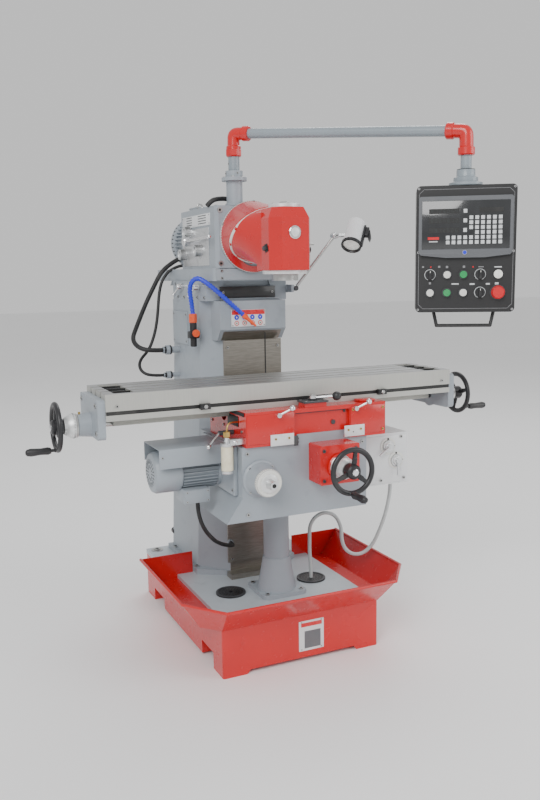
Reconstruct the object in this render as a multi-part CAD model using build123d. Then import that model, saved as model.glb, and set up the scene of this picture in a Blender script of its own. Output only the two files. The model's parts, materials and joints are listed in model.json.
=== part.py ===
from build123d import *
import os
from math import cos, pi, radians, sin, sqrt, tan

# Universal knee-type milling machine with a swivelling 45-degree head.
# Millimetres.  +X runs along the table, -Y faces the operator, +Z is up.
# The origin is on the floor, under the middle of the table.

# ---- Driving sizes -------------------------------------------------------
table_length = 1270.0
table_width = 254.0
table_top = 969.0
table_slab = 84.0
slot_width = 14.0
slot_pitch = 63.0
keel_half = 55.0
keel_depth = 28.0

saddle_height = 114.0
saddle_left = -203.0
saddle_right = 319.0
saddle_front = -190.0
saddle_back = 132.0
rail_middle = 75.0
rail_half = 92.0
rail_height = 27.0

knee_height = 246.0
knee_front = -180.0
knee_left = -214.0
knee_flare = -270.0
knee_right = 250.0
knee_wall = 18.0

way_face = 211.0
way_half = 115.0
way_depth = 26.0
column_front = 338.0
column_back = 645.0
column_half_top = 160.0
column_half_foot = 193.0
column_height = 1042.0
column_wall = 22.0

plinth_half = 297.0
plinth_front = -182.0
plinth_back = 690.0
plinth_height = 168.0
plinth_wall = 14.0
plate_thickness = 18.0
plate_half = 276.0
anchor_radius = 9.0
anchor_inset = 36.0

tray_half = 420.0
tray_front = -277.0
tray_back = 345.0
tray_height = 100.0
tray_sheet = 4.0
tray_foot_half = 351.0

saddle_block_height = 72.0
saddle_block_front = 255.0
ram_height = 46.0
ram_half = 150.0
ram_front = 202.0
ram_length = 678.0
ram_key_half = 95.0
ram_key_depth = 20.0
gearbox_half = 140.0
gearbox_front = 196.0
gearbox_back = 580.0
gearbox_height = 218.0
gearbox_wall = 14.0
drive_drop = 109.0
motor_radius = 106.0
motor_length = 250.0

head_radius = 125.0
joint_radius = 127.0
joint_y = 88.0
head_wall = 12.0
spindle_y = -70.0
head_half = 75.0
head_bottom = 1322.0
head_top = 1548.0
nose_radius = 44.44
nose_length = 22.0
nose_bolt_circle = 66.7
nose_bolt_radius = 7.0
spindle_bore = 22.2
spindle_radius = 30.0

screw_y = 30.0
screw_radius = 20.0
sleeve_radius = 46.0
sleeve_top = 550.0
drain_x = 163.0
drain_y = 74.0
drain_radius = 54.0

wheel_radius = 80.0
wheel_rim = 9.0
wheel_shaft = 12.0
cross_wheel_x = 97.0
cross_wheel_y = -350.0
cross_wheel_z = 695.0
dial_x = -152.0
dial_y = -250.0
dial_z = 664.0

mast_x = -50.0
mast_y = 235.0
arm_rise = 252.0
arm_droop = 63.0
arm_reach_x = 515.0
arm_reach_y = -653.0
arm_radius = 17.0
pendant_width = 305.0
pendant_height = 391.0
pendant_depth = 90.0
pendant_turn = -33.0
pendant_drop = 168.0

slide_gap = 0.3
shaft_gap = 0.06
joint_gap = 0.4

# ---- Sizes that follow ---------------------------------------------------
saddle_top = table_top - table_slab - slide_gap
knee_top = saddle_top - saddle_height
knee_bottom = knee_top - knee_height
plate_top = plinth_height + plate_thickness
column_top = plate_top + column_height
ram_bottom = column_top + saddle_block_height
ram_top = ram_bottom + ram_height
gearbox_top = ram_top + gearbox_height
drive_z = ram_top + drive_drop
head_shift = drive_z - 1455.0
head_low = head_bottom + head_shift
head_high = head_top + head_shift
block_front = way_face - 11.0
anchor_x = plinth_half - anchor_inset
anchor_front = plinth_front + anchor_inset
anchor_back = plinth_back - anchor_inset
lead_z = table_top - 109.0
table_end = table_length / 2
arm_corner_z = gearbox_top + arm_rise
drop_x = mast_x + arm_reach_x
drop_y = mast_y + arm_reach_y
drop_z = arm_corner_z - arm_droop
pendant_top = drop_z - pendant_drop
pendant_z = pendant_top - pendant_height / 2
pendant_place = Pos(drop_x, drop_y, pendant_z) * Rot(0, 0, pendant_turn)
pendant_face = -pendant_depth / 2


# ---- Small makers --------------------------------------------------------
def block(x0, x1, y0, y1, z0, z1):
    """Box between two opposite corners."""
    middle = Pos((x0 + x1) / 2, (y0 + y1) / 2, (z0 + z1) / 2)
    return middle * Box(x1 - x0, y1 - y0, z1 - z0)


def bar(start, end, radius, end_radius=None):
    """Round bar, or a cone when the far end has its own radius."""
    run = Vector(*end) - Vector(*start)
    middle = Plane(origin=(Vector(*start) + Vector(*end)) * 0.5, z_dir=run)
    if end_radius is None:
        return middle * Cylinder(radius, run.length)
    return middle * Cone(radius, end_radius, run.length)


def prism(points, run):
    """Extrude a closed outline along a vector."""
    face = make_face(Polyline(*points, close=True))
    along = Vector(*run)
    return extrude(face, amount=along.length, dir=along.normalized())


def ball(place, radius):
    """Sphere at a point."""
    return Pos(*place) * Sphere(radius)


def save(name, *shapes):
    """Write one node; several shapes stay separate solids."""
    solids = []
    for shape in shapes:
        solids += shape.solids()
    whole = solids[0] if len(solids) == 1 else Compound(children=solids)
    export_step(whole, f"parts/{name}.step")


# ---- Base ----------------------------------------------------------------
def base_plinth():
    """Hollow base with forklift pockets, a sump and four anchor holes."""
    half = plinth_half
    body = block(-half, half, plinth_front, plinth_back, 0, plinth_height)
    body = fillet(body.edges().filter_by(Axis.Z), 8)
    body -= block(-half - 1, half + 1, -92, 20, -1, 57)
    body -= block(-half - 1, half + 1, 455, 585, -1, 50)
    body -= block(-half - 1, half + 1, 20, 455, -1, 9)
    lip = [(-211, plinth_front - 1, -1), (-199, plinth_front - 1, 15)]
    lip += [(199, plinth_front - 1, 15), (211, plinth_front - 1, -1)]
    body -= prism(lip, (0, 91, 0))
    wall = plinth_wall
    body -= block(-half + 60, half - 60, plinth_front + wall, plinth_back - wall,
                  72, plinth_height + 1)
    body -= block(-half + wall, half - wall, plinth_front + 70, plinth_back - 70,
                  72, plinth_height - 12)
    for x in (-anchor_x, anchor_x):
        for y in (anchor_front, anchor_back):
            body -= bar((x, y, -1), (x, y, plinth_height + 1), anchor_radius)
    return body


def tray_outline(share, inset):
    """Tray outline at a share of its height, moved inwards by an inset."""
    half = tray_foot_half + (tray_half - tray_foot_half) * share - inset
    front = plinth_front + (tray_front - plinth_front) * share + inset
    corner_x = plinth_half + 18 * share - inset / 2
    corner_y = -120 - 23 * share + inset / 2
    z = plinth_height + tray_height * share
    back = tray_back - inset
    points = [(-half, back, z), (-half, corner_y, z), (-corner_x, front, z)]
    points += [(corner_x, front, z), (half, corner_y, z), (half, back, z)]
    return make_face(Polyline(*points, close=True))


def coolant_tray():
    """Flared sheet tray with a flat floor and a way through for the column."""
    floor = tray_sheet / tray_height
    tray = loft([tray_outline(0, 0), tray_outline(1, 0)])
    tray -= loft([tray_outline(floor, tray_sheet), tray_outline(1.02, tray_sheet)])
    tray -= block(-214, 214, tray_back - 30, tray_back + 1,
                  plinth_height + tray_sheet, plinth_height + tray_height + 5)
    for x in (-anchor_x, anchor_x):
        tray -= bar((x, anchor_front, plinth_height - 1),
                    (x, anchor_front, plinth_height + 9), anchor_radius)
    tray -= bar((0, screw_y, 160), (0, screw_y, 180), screw_radius + 6)
    for x in (-drain_x, drain_x):
        tray -= bar((x, drain_y, 160), (x, drain_y, 180), drain_radius - 4)
    return tray


def base_casting():
    """Grey base plate that carries the column and the screw pedestal."""
    low = plinth_height + tray_sheet
    back_wall = tray_back - tray_sheet
    plate = block(-plate_half, plate_half, plinth_front + 14, back_wall, low, plate_top)
    plate += block(-213, 213, back_wall - 1, tray_back + 1, low, plate_top)
    plate += block(-plinth_half, plinth_half, tray_back, plinth_back,
                   plinth_height, plate_top)
    for x in (-anchor_x, anchor_x):
        for y in (anchor_front, anchor_back):
            plate -= bar((x, y, plinth_height - 1), (x, y, plate_top + 1), anchor_radius)
    plate -= bar((0, screw_y, 160), (0, screw_y, 190), screw_radius + 6)
    for x in (-drain_x, drain_x):
        plate -= bar((x, drain_y, 160), (x, drain_y, 190), drain_radius - 4)
    return plate


def drain_cover(x):
    """Round lid of a chip drain with a hose hole in its middle."""
    lid = bar((x, drain_y, plate_top), (x, drain_y, plate_top + 4), drain_radius)
    lid += bar((x, drain_y, plate_top - 9), (x, drain_y, plate_top + 1),
               drain_radius - 4.5)
    return lid - bar((x, drain_y, 170), (x, drain_y, 200), 7.5)


def screw_pedestal():
    """Flanged cone and sleeve with the nut of the elevating screw."""
    place = (0, screw_y)
    cone_top = plate_top + 130
    body = block(-85, 85, screw_y - 85, screw_y + 85, plate_top, plate_top + 14)
    body = fillet(body.edges().filter_by(Axis.Z), 24)
    body += bar((*place, plate_top + 12), (*place, cone_top), 70, sleeve_radius + 3)
    body += bar((*place, cone_top - 1), (*place, sleeve_top), sleeve_radius)
    body -= bar((*place, plate_top - 1), (*place, sleeve_top - 45), screw_radius + 12)
    body -= bar((*place, sleeve_top - 60), (*place, sleeve_top + 1),
                screw_radius + shaft_gap)
    return body


# ---- Column --------------------------------------------------------------
def column_outline(half, z, inset=0.0):
    """Column section: a box with cheeks that narrow towards the ways."""
    stem = way_half - 19
    front = way_face + way_depth - 1
    points = [(-half + inset, column_back - inset, z)]
    points += [(-half + inset, column_front + inset, z)]
    if inset == 0:
        points += [(-stem, front, z), (stem, front, z)]
    points += [(half - inset, column_front + inset, z)]
    points += [(half - inset, column_back - inset, z)]
    return make_face(Polyline(*points, close=True))


def column():
    """Hollow column casting with dovetail ways, foot and overhanging top."""
    shoulder = column_top - 178
    body = loft([column_outline(column_half_foot, plate_top),
                 column_outline(column_half_top, shoulder)])
    body += extrude(column_outline(column_half_top, shoulder - 0.01),
                    amount=column_top - shoulder, dir=(0, 0, 1))
    way_low = plate_top + 61
    way_high = column_top - 143
    edge = way_face + way_depth
    ways = [(-way_half, way_face), (way_half, way_face), (way_half, way_face + 8)]
    ways += [(way_half - 20, edge), (20 - way_half, edge), (-way_half, way_face + 8)]
    body += prism([(x, y, way_low) for x, y in ways], (0, 0, way_high - way_low))
    brow = [(block_front, column_top), (block_front, column_top - 103)]
    brow += [(edge - 2, way_high), (column_front + 60, way_high)]
    brow += [(column_front + 60, column_top)]
    body += prism([(-130, y, z) for y, z in brow], (260, 0, 0))
    foot = [(-208, column_back + 20), (-208, 309), (-112, 245), (-112, 190)]
    foot += [(112, 190), (112, 245), (208, 309), (208, column_back + 20)]
    body += prism([(x, y, plate_top) for x, y in foot], (0, 0, 20))
    hollow = loft([column_outline(column_half_foot, plate_top + 40, column_wall),
                   column_outline(column_half_top, column_top - 60, column_wall)])
    body -= hollow
    body -= block(-105, 105, column_back - 60, column_back + 1, 430, 1000)
    return body


def column_covers():
    """Rear door, side access cover and the blank sign plate."""
    door = block(-130, 130, column_back, column_back + 6, 400, 1030)
    side = block(-column_half_top - 5, -column_half_top, 462, 636,
                 column_top - 172, column_top - 45)
    front = block_front
    sign = block(-88, 46, front - 2, front, column_top - 93, column_top - 32)
    return door, side, sign


def cable_gland(z, radius):
    """Gland on the left side of the column."""
    start = -column_half_foot + 2
    y = 575
    gland = bar((start - 40, y, z), (start + 30, y, z), radius)
    gland += bar((start - 28, y, z), (start - 14, y, z), radius + 6)
    return gland - column_side()


def lead_gland():
    """Gland of the motor lead, low on the front of the column's slideway."""
    x, y, z = motor_lead_route[-1]
    return bar((x, y - 6, z), (x, way_face, z), motor_lead_size / 2 + 4) - bar(
        (x, y - 7, z), (x, y, z), motor_lead_size / 2)


def column_side():
    """Plain outside of the column, used to trim what is fixed to its side."""
    return loft([column_outline(column_half_foot, plate_top),
                 column_outline(column_half_top, column_top - 178)])


def ram_saddle():
    """Block on the column with the ram's dovetail channel and lamp boss."""
    half = column_half_top
    body = block(-half, half, saddle_block_front, column_back - 9, column_top, ram_bottom)
    gap = slide_gap
    wide = ram_key_half + gap
    key = [(-wide + 8, ram_bottom + 1), (-wide, ram_bottom - ram_key_depth - gap)]
    key += [(wide, ram_bottom - ram_key_depth - gap), (wide - 8, ram_bottom + 1)]
    start = saddle_block_front - 1
    body -= prism([(x, start, z) for x, z in key], (0, 500, 0))
    body += block(-111, 111, saddle_block_front - 6, saddle_block_front + 1,
                  column_top + 6, ram_bottom - ram_key_depth - 2)
    boss_z = lamp_pivot[2]
    body += bar((half - 2, lamp_pivot[1] + 40, boss_z), (half + 12, lamp_pivot[1] + 40, boss_z), 16)
    body += block(half + 2, half + 12, lamp_pivot[1] - 14, lamp_pivot[1] + 42,
                  boss_z - 14, boss_z + 14)
    return body


# ---- Ram, gearbox and drive ----------------------------------------------
def ram():
    """Overarm slide with a dovetail key under it."""
    back = ram_front + ram_length
    body = block(-ram_half, ram_half, ram_front, back, ram_bottom + slide_gap, ram_top)
    body = fillet(body.edges().filter_by(Axis.Z), 12)
    wide = ram_key_half
    low = ram_bottom - ram_key_depth
    top = ram_bottom + slide_gap + 1
    key = [(8 - wide, top), (-wide, low), (wide, low), (wide - 8, top)]
    start = saddle_block_front + 12
    body += prism([(x, start, z) for x, z in key], (0, back - start - 6, 0))
    return body


def gearbox_housing():
    """Hollow gearbox with a round swivel flange and the shaft bore."""
    half = gearbox_half
    wall = gearbox_wall
    body = block(-half, half, gearbox_front, gearbox_back, ram_top, gearbox_top)
    body = chamfer(body.edges().filter_by(Axis.Z), 12)
    body -= block(-half + wall, half - wall, gearbox_front + wall, gearbox_back - wall,
                  ram_top + wall, gearbox_top - wall)
    flange = bar((0, gearbox_front - 10, drive_z), (0, gearbox_front + 1, drive_z), head_radius)
    body += flange
    body -= bar((0, gearbox_front - 12, drive_z), (0, gearbox_back + 1, drive_z),
                18 + shaft_gap)
    for start, size in ((ram_conduit_route[0], ram_conduit_size), (ram_cable_route[0], ram_cable_size)):
        x, y, z = start
        body += bar((x, gearbox_back - 2, z), (x, y - slide_gap, z), size / 2 + 4)
    return body


def main_motor():
    """Stator, end shields and fan cowl of the main motor."""
    start = gearbox_back
    end = start + motor_length
    body = bar((0, start + 12, drive_z), (0, end, drive_z), motor_radius)
    body += bar((0, start, drive_z), (0, start + 14, drive_z), motor_radius - 4)
    body -= bar((0, start + 24, drive_z), (0, end - 8, drive_z), motor_radius - 12)
    body -= bar((0, start - 1, drive_z), (0, start + 30, drive_z), 18 + shaft_gap)
    body += block(-46, 46, start + 60, start + 160, drive_z + motor_radius - 8,
                  drive_z + motor_radius + 34)
    body += block(-70, 70, start + 40, end - 60, ram_top, drive_z - motor_radius + 14)
    return body


def drive_shaft():
    """Motor rotor and the main shaft through to the first bevel gear."""
    tip = joint_y + 50
    body = bar((0, tip, drive_z), (0, gearbox_back + 60, drive_z), 18)
    body += bar((0, gearbox_back + 40, drive_z), (0, gearbox_back + 190, drive_z), 66)
    body += bar((0, gearbox_back + 189, drive_z), (0, gearbox_back + 215, drive_z), 84)
    body += bar((0, tip - 1, drive_z), (0, tip + 28, drive_z), 22, 34)
    body += bar((0, 300, drive_z), (0, 330, drive_z), 70)
    body += bar((0, 345, drive_z), (0, 375, drive_z), 55)
    return body


def arm_mast():
    """Tube, flange and collar that carry the pendant arm."""
    place = (mast_x, mast_y)
    base = gearbox_top
    body = bar((*place, base), (*place, base + 92), 29)
    body += bar((*place, base + 88), (*place, base + 100), 45)
    body += bar((*place, base + 99), (*place, base + 123), 31)
    body += bar((*place, base + 122), (*place, base + 190), arm_radius - 0.5)
    return body


def gear_knob(y, z):
    """Round selector knob on the left face of the gearbox."""
    face = -gearbox_half - joint_gap
    knob = bar((face, y, z), (face - 26, y, z), 21, 19)
    return knob - bar((face - 27, y, z), (face - 22, y, z), 15)


def speed_lever():
    """Speed lever with a round hub and a straight rod."""
    face = -gearbox_half - joint_gap
    y, z = 446, drive_z - 6
    hub = bar((face, y, z), (face - 34, y, z), 20)
    rod = bar((face - 26, y, z), (face - 26, y - 250, z + 6), 6.5)
    return hub + rod + ball((face - 26, y - 250, z + 6), 6.5)


def clamp_lever(pivot, tip, out, length):
    """Clamp lever: a hub along its pin, a thin arm and a ball."""
    pivot = Vector(*pivot)
    out = Vector(*out)
    tip = Vector(*tip)
    hub = bar(tuple(pivot), tuple(pivot + out * length), 8)
    arm = bar(tuple(pivot + out * (length - 6)), tuple(tip), 3.6)
    return hub + arm + ball(tuple(tip), 7.5)


# ---- Head ----------------------------------------------------------------
def joint_plane(offset):
    """Plane of the inclined head joint, moved along its axis."""
    lean = offset / sqrt(2)
    return Plane(origin=(0, joint_y - lean, drive_z - lean), x_dir=(1, 0, 0),
                 z_dir=(0, -1, -1))


def flange_plane(y):
    """Upright plane across the drive axis, facing the operator."""
    return Plane(origin=(0, y, drive_z), x_dir=(1, 0, 0), z_dir=(0, -1, 0))


def head_swivel():
    """Hollow wedge between the upright flange and the inclined joint."""
    back = gearbox_front - 10 - joint_gap
    body = loft([flange_plane(back) * Circle(head_radius).face(),
                 joint_plane(-joint_gap / 2) * Circle(joint_radius).face()])
    inner_back = flange_plane(back + 1) * Circle(head_radius - head_wall).face()
    inner_front = joint_plane(1) * Circle(joint_radius - head_wall - 8).face()
    return body - loft([inner_back, inner_front])


def head_body():
    """Head casting round the spindle, with its cap and lower ring."""
    plan = [(-48, -84), (48, -84), (head_half, -38), (head_half, 60), (-head_half, 60),
            (-head_half, -38)]
    top_z = head_high - 12
    low_z = head_low + 12
    prow = prism([(x, spindle_y + y, low_z) for x, y in plan], (0, 0, top_z - low_z - 34))
    waist = make_face(Polyline(*[(x, spindle_y + y, top_z - 34) for x, y in plan], close=True))
    cap_plan = [(x * 0.78, spindle_y + y * 0.78, top_z) for x, y in plan]
    prow += loft([waist, make_face(Polyline(*cap_plan, close=True))])
    neck_start = joint_plane(joint_gap / 2) * Circle(joint_radius).face()
    middle = (head_high + head_low) / 2
    neck_end = Plane(origin=(0, spindle_y + 20, middle), x_dir=(1, 0, 0), z_dir=(0, -1, 0))
    neck = loft([neck_start, neck_end * Rectangle(2 * head_half, top_z - low_z - 30).face()])
    body = prow + neck
    cap = bar((0, spindle_y, top_z - 1), (0, spindle_y, head_high), 52)
    ring = bar((0, spindle_y, head_low), (0, spindle_y, low_z + 1), 73)
    body += cap + ring
    body -= bar((0, spindle_y, head_low - 1), (0, spindle_y, head_high - 30),
                spindle_radius + shaft_gap)
    body -= joint_plane(-1) * Pos(0, 0, 31) * Cylinder(40, 64)
    return body


def spindle():
    """Spindle with a flanged nose, four drive holes and a draw-bar bore."""
    nose_top = head_low - joint_gap
    nose_low = nose_top - nose_length
    body = bar((0, spindle_y, nose_low), (0, spindle_y, nose_top), nose_radius)
    body += bar((0, spindle_y, nose_top - 1), (0, spindle_y, head_high - 36), spindle_radius)
    body -= bar((0, spindle_y, nose_low - 1), (0, spindle_y, nose_low + 70),
                spindle_bore, 12)
    body -= bar((0, spindle_y, nose_low + 60), (0, spindle_y, head_high), 9)
    for turn in range(4):
        angle = radians(45 + 90 * turn)
        x = nose_bolt_circle / 2 * cos(angle)
        y = spindle_y + nose_bolt_circle / 2 * sin(angle)
        body -= bar((x, y, nose_low - 1), (x, y, nose_top - 4), nose_bolt_radius)
    return body


# ---- Pendant -------------------------------------------------------------
def pendant_arm():
    """Swinging arm: red nuts and elbows joined by a grey tube."""
    low = gearbox_top + 123 + joint_gap
    near = (mast_x, mast_y, arm_corner_z)
    far = (drop_x, drop_y, drop_z)
    body = bar((mast_x, mast_y, low + 48), near, 22)
    body += bar((mast_x, mast_y, low + 48), (mast_x, mast_y, low + 84), 27)
    body += bar((mast_x, mast_y, low), (mast_x, mast_y, low + 50), 20)
    body += ball(near, 25) + ball(far, 25)
    body += bar(near, far, arm_radius)
    run = Vector(*far) - Vector(*near)
    one = run.normalized()
    body += bar(near, tuple(Vector(*near) + one * 62), 23)
    body += bar(far, tuple(Vector(*far) - one * 62), 23)
    body += bar(far, (drop_x, drop_y, drop_z - 62), 23)
    body += bar(far, (drop_x, drop_y, pendant_top + 52), arm_radius)
    body -= bar((mast_x, mast_y, low - 1), (mast_x, mast_y, gearbox_top + 192),
                arm_radius - 0.5 + shaft_gap)
    return body


def on_panel(x, z, depth=0.0):
    """Point on the pendant's front face, in the pendant's own place."""
    return (x, pendant_face - depth, z)


def pendant_box():
    """Hollow control box with a collar on top and a bow handle below."""
    half = pendant_width / 2
    tall = pendant_height / 2
    deep = pendant_depth / 2
    body = block(-half, half, -deep, deep, -tall, tall)
    body = fillet(body.edges().filter_by(Axis.Y), 14)
    body -= block(-half + 4, half - 4, -deep + 12, deep - 3, -tall + 4, tall - 4)
    body += bar((0, 0, tall - 1), (0, 0, tall + 20), 34)
    body += bar((0, 0, tall + 19), (0, 0, tall + 52 - joint_gap), 28)
    body -= bar((0, 0, tall + 19), (0, 0, tall + 60), arm_radius + shaft_gap)
    for side in (-1, 1):
        top = (side * 94, 0, -tall + 1)
        low = (side * 84, -6, -tall - 44)
        body += bar(top, low, 5.5) + ball(low, 5.5)
    body += bar((-84, -6, -tall - 44), (84, -6, -tall - 44), 5.5)
    for x, z, depth, radius in panel_seats():
        body -= bar(on_panel(x, z, 1), on_panel(x, z, -13), radius)
    x, z = lamp_place
    body += bar(on_panel(x, z, -2), on_panel(x, z, 8), button_radius)
    return pendant_place * body


def readout_panel():
    """Position readout: a raised bezel in the upper part of the pendant."""
    wide, tall, deep = 298 / 2, 174 / 2, 14
    z = pendant_height / 2 - tall - 34
    bezel = block(-wide + 4, wide - 8, pendant_face - deep, pendant_face, z - tall, z + tall)
    bezel = fillet(bezel.edges().filter_by(Axis.Y), 8)
    bezel -= block(-wide + 18, wide - 22, pendant_face - deep - 1, pendant_face - deep + 4,
                   z - tall + 18, z + tall - 14)
    return pendant_place * bezel


button_row_upper = -78.0
button_row_lower = -134.0
button_radius = 13.0
knob_radius = 15.0
stop_radius = 21.0
button_places = ((-56, button_row_upper), (-6, button_row_upper), (-108, button_row_lower),
                 (-56, button_row_lower), (-6, button_row_lower))
knob_places = ((-108, button_row_upper), (46, button_row_upper), (46, button_row_lower))
stop_place = (100, button_row_lower)
lamp_place = (100, button_row_upper)


def panel_seats():
    """Every control's place on the panel and the radius of its hole."""
    seats = [(x, z, 12, 9) for x, z in button_places + knob_places]
    return seats + [(stop_place[0], stop_place[1], 12, 9)]


def push_button(x, z):
    """Push button: a cap on a plunger."""
    body = bar(on_panel(x, z, 7), on_panel(x, z, 14), button_radius - 2)
    body += bar(on_panel(x, z, 8), on_panel(x, z, -10), 9 - shaft_gap)
    return pendant_place * body


def rotary_switch(x, z):
    """Selector switch: a round skirt with a grip bar across it."""
    body = bar(on_panel(x, z, joint_gap), on_panel(x, z, 9), knob_radius)
    body += block(x - 4, x + 4, pendant_face - 20, pendant_face - 8, z - 13, z + 13)
    body += bar(on_panel(x, z, 1), on_panel(x, z, -10), 9 - shaft_gap)
    return pendant_place * body


def emergency_stop():
    """Mushroom head on a plunger."""
    x, z = stop_place
    body = bar(on_panel(x, z, 13), on_panel(x, z, 24), stop_radius, stop_radius - 4)
    body += bar(on_panel(x, z, 14), on_panel(x, z, -10), 9 - shaft_gap)
    return pendant_place * body


# ---- Knee ----------------------------------------------------------------
def knee():
    """Hollow knee with a dovetail grip on the ways and a rail on top."""
    front = knee_front
    grip = way_face + way_depth - 4
    plan = [(knee_left, knee_top), (knee_left, knee_bottom + 80), (knee_flare, knee_bottom)]
    plan += [(knee_right, knee_bottom), (knee_right, knee_top)]
    face = way_face - slide_gap
    body = prism([(x, front, z) for x, z in plan], (0, face - front, 0))
    wall = knee_wall
    inner = [(knee_left + wall, knee_top - wall), (knee_left + wall, knee_bottom + 84)]
    inner += [(knee_flare + wall + 4, knee_bottom - 1)]
    inner += [(knee_right - wall, knee_bottom - 1), (knee_right - wall, knee_top - wall)]
    body -= prism([(x, front + wall, z) for x, z in inner], (0, face - front - 2 * wall, 0))
    side = way_half + slide_gap
    for turn in (-1, 1):
        arm = [(side, face - 1), (side + 48, face - 1), (side + 48, grip)]
        arm += [(side - 12, grip), (side, way_face + 8.5)]
        points = [(turn * x, y, knee_bottom + 10) for x, y in arm]
        body += prism(points, (0, 0, knee_height - 20))
    low, high = rail_middle - rail_half, rail_middle + rail_half
    rail = [(low + 8, knee_top - 1), (low, knee_top + rail_height)]
    rail += [(high, knee_top + rail_height), (high - 8, knee_top - 1)]
    body += prism([(x, front, z) for x, z in rail], (0, face - front - 6, 0))
    body += bar((dial_x, front + 1, dial_z), (dial_x, dial_y + 12, dial_z), 50, 40)
    body -= bar((dial_x, dial_y - 1, dial_z), (dial_x, 60, dial_z), 11 + shaft_gap)
    body -= bar((0, screw_y, knee_top - wall - 1), (0, screw_y, knee_top - 4), 26)
    body -= bar((cross_wheel_x, front - 1, cross_wheel_z),
                (cross_wheel_x, front + wall + 1, cross_wheel_z), wheel_shaft + 2)
    return body


def elevating_screw():
    """Elevating screw with its thrust head and bevel gear."""
    place = (0, screw_y)
    head = knee_top - knee_wall - joint_gap
    body = bar((*place, 268), (*place, head), screw_radius)
    body += bar((*place, head - 30), (*place, head), 40)
    body += bar((*place, head - 1), (*place, knee_top - 6), 26 - shaft_gap)
    return body


def elevation_shaft():
    """Elevation shaft with its dial, tip and bevel pinion."""
    body = bar((dial_x, dial_y - 14, dial_z), (dial_x, 40, dial_z), 11)
    body += bar((dial_x, dial_y - 4, dial_z), (dial_x, dial_y + 11, dial_z), 44)
    body += bar((dial_x, dial_y - 40, dial_z), (dial_x, dial_y - 3, dial_z), 12, 15)
    body += bar((dial_x, 10, dial_z), (dial_x, 39, dial_z), 30, 20)
    return body


def cross_feed_block():
    """Red gear case of the cross feed on the front of the knee."""
    body = block(27, 174, knee_front - 82, knee_front, 636, knee_top - 4)
    body = fillet(body.edges().filter_by(Axis.Y), 6)
    body -= bar((cross_wheel_x, knee_front - 83, cross_wheel_z),
                (cross_wheel_x, knee_front + 1, cross_wheel_z), wheel_shaft + shaft_gap)
    return body


def handwheel(shaft_length, dial_radius):
    """Spoked handwheel facing +Z at the origin, its grip along +X."""
    rim = Torus(wheel_radius - wheel_rim, wheel_rim)
    body = rim + Pos(0, 0, -4) * Cylinder(24, 40)
    for turn in range(3):
        angle = 60 + 120 * turn
        spoke = Rot(0, 0, angle) * Pos(wheel_radius / 2, 0, 0) * Box(wheel_radius - 14, 17, 9)
        body += spoke
    grip_x = wheel_radius - wheel_rim
    body += bar((grip_x, 0, 0), (grip_x, 0, 22), 6)
    body += bar((grip_x, 0, 20), (grip_x, 0, 98), 10, 12.5)
    body += bar((0, 0, -20), (0, 0, -58), 26, dial_radius)
    body += bar((0, 0, -10), (0, 0, -58 - shaft_length), wheel_shaft)
    return body


def cross_handwheel():
    """Handwheel of the cross feed."""
    place = Plane(origin=(cross_wheel_x, cross_wheel_y, cross_wheel_z),
                  x_dir=(-0.15, 0, -1), z_dir=(0, -1, 0))
    reach = knee_front - 83 - cross_wheel_y - 58
    return place * handwheel(reach + 62, 36)


def table_handwheel(side, grip):
    """Handwheel on one end of the table."""
    place = Plane(origin=(side * (table_end + 128), 0, lead_z), x_dir=grip, z_dir=(side, 0, 0))
    return place * handwheel(34, 39)


def table_leadscrew():
    """Leadscrew between the two end brackets."""
    reach = table_end - 8
    screw = bar((-reach, 0, lead_z), (reach, 0, lead_z), wheel_shaft)
    return screw


def feed_motor():
    """Feed motor with its foot flange, cowl and terminal box."""
    y, z = 20, 675
    flange = block(knee_left - 14, knee_left, -142, 150, knee_bottom + 82, knee_top - 2)
    body = bar((knee_left - 13, y, z), (-370, y, z), 66)
    body += bar((-368, y, z), (-462, y, z), 70)
    body -= bar((-380, y, z), (-458, y, z), 62)
    box = block(-372, -280, -60, 40, 572, 622)
    return flange + body + box


def feed_motor_guard():
    """Folded sheet guard over the feed motor."""
    top = block(knee_left - 14 - 230, knee_left - 14, -72, 96, 766, 769)
    front = block(knee_left - 14 - 230, knee_left - 14, -75, -72, 704, 769)
    back = block(knee_left - 14 - 230, knee_left - 14, 96, 99, 704, 769)
    return top + front + back


def feed_gearbox():
    """Feed gearbox on the right of the knee."""
    body = block(knee_right, 467, -110, 66, 565, 752)
    return fillet(body.edges().filter_by(Axis.Y), 6)


def feed_selector(x, z, turn):
    """Feed selector: a round disc with a short lever."""
    face = -110 - joint_gap
    disc = bar((x, face, z), (x, face - 12, z), 22)
    angle = radians(turn)
    tip = (x + 52 * cos(angle), face - 18, z + 52 * sin(angle))
    disc += bar((x, face - 8, z), (x, face - 24, z), 9)
    return disc + bar((x, face - 18, z), tip, 4.5)


# ---- Saddle and table ----------------------------------------------------
def saddle():
    """Saddle with a rail channel below and a keel channel above."""
    low = knee_top + slide_gap
    body = block(saddle_left, saddle_right, saddle_front, saddle_back, low, saddle_top)
    left, right = rail_middle - rail_half - slide_gap, rail_middle + rail_half + slide_gap
    roof = knee_top + rail_height + slide_gap
    channel = [(left + 8, low - 1), (left, roof), (right, roof), (right - 8, low - 1)]
    body -= prism([(x, saddle_front - 1, z) for x, z in channel], (0, 400, 0))
    body -= block(-28, 178, saddle_front - 1, saddle_front + 12, low - 1, saddle_top - 14)
    half = keel_half + slide_gap
    bottom = saddle_top - keel_depth + 0.01
    keel = [(-half, bottom), (half, bottom), (half - 8, saddle_top + 1)]
    keel += [(8 - half, saddle_top + 1)]
    body -= prism([(saddle_left - 1, y, z) for y, z in keel], (700, 0, 0))
    body -= bar((saddle_left - 1, 0, lead_z), (saddle_right + 1, 0, lead_z), 26)
    body += block(12, 92, saddle_front + 4, saddle_front + 52, saddle_top - 1, saddle_top + 15)
    return body


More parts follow.
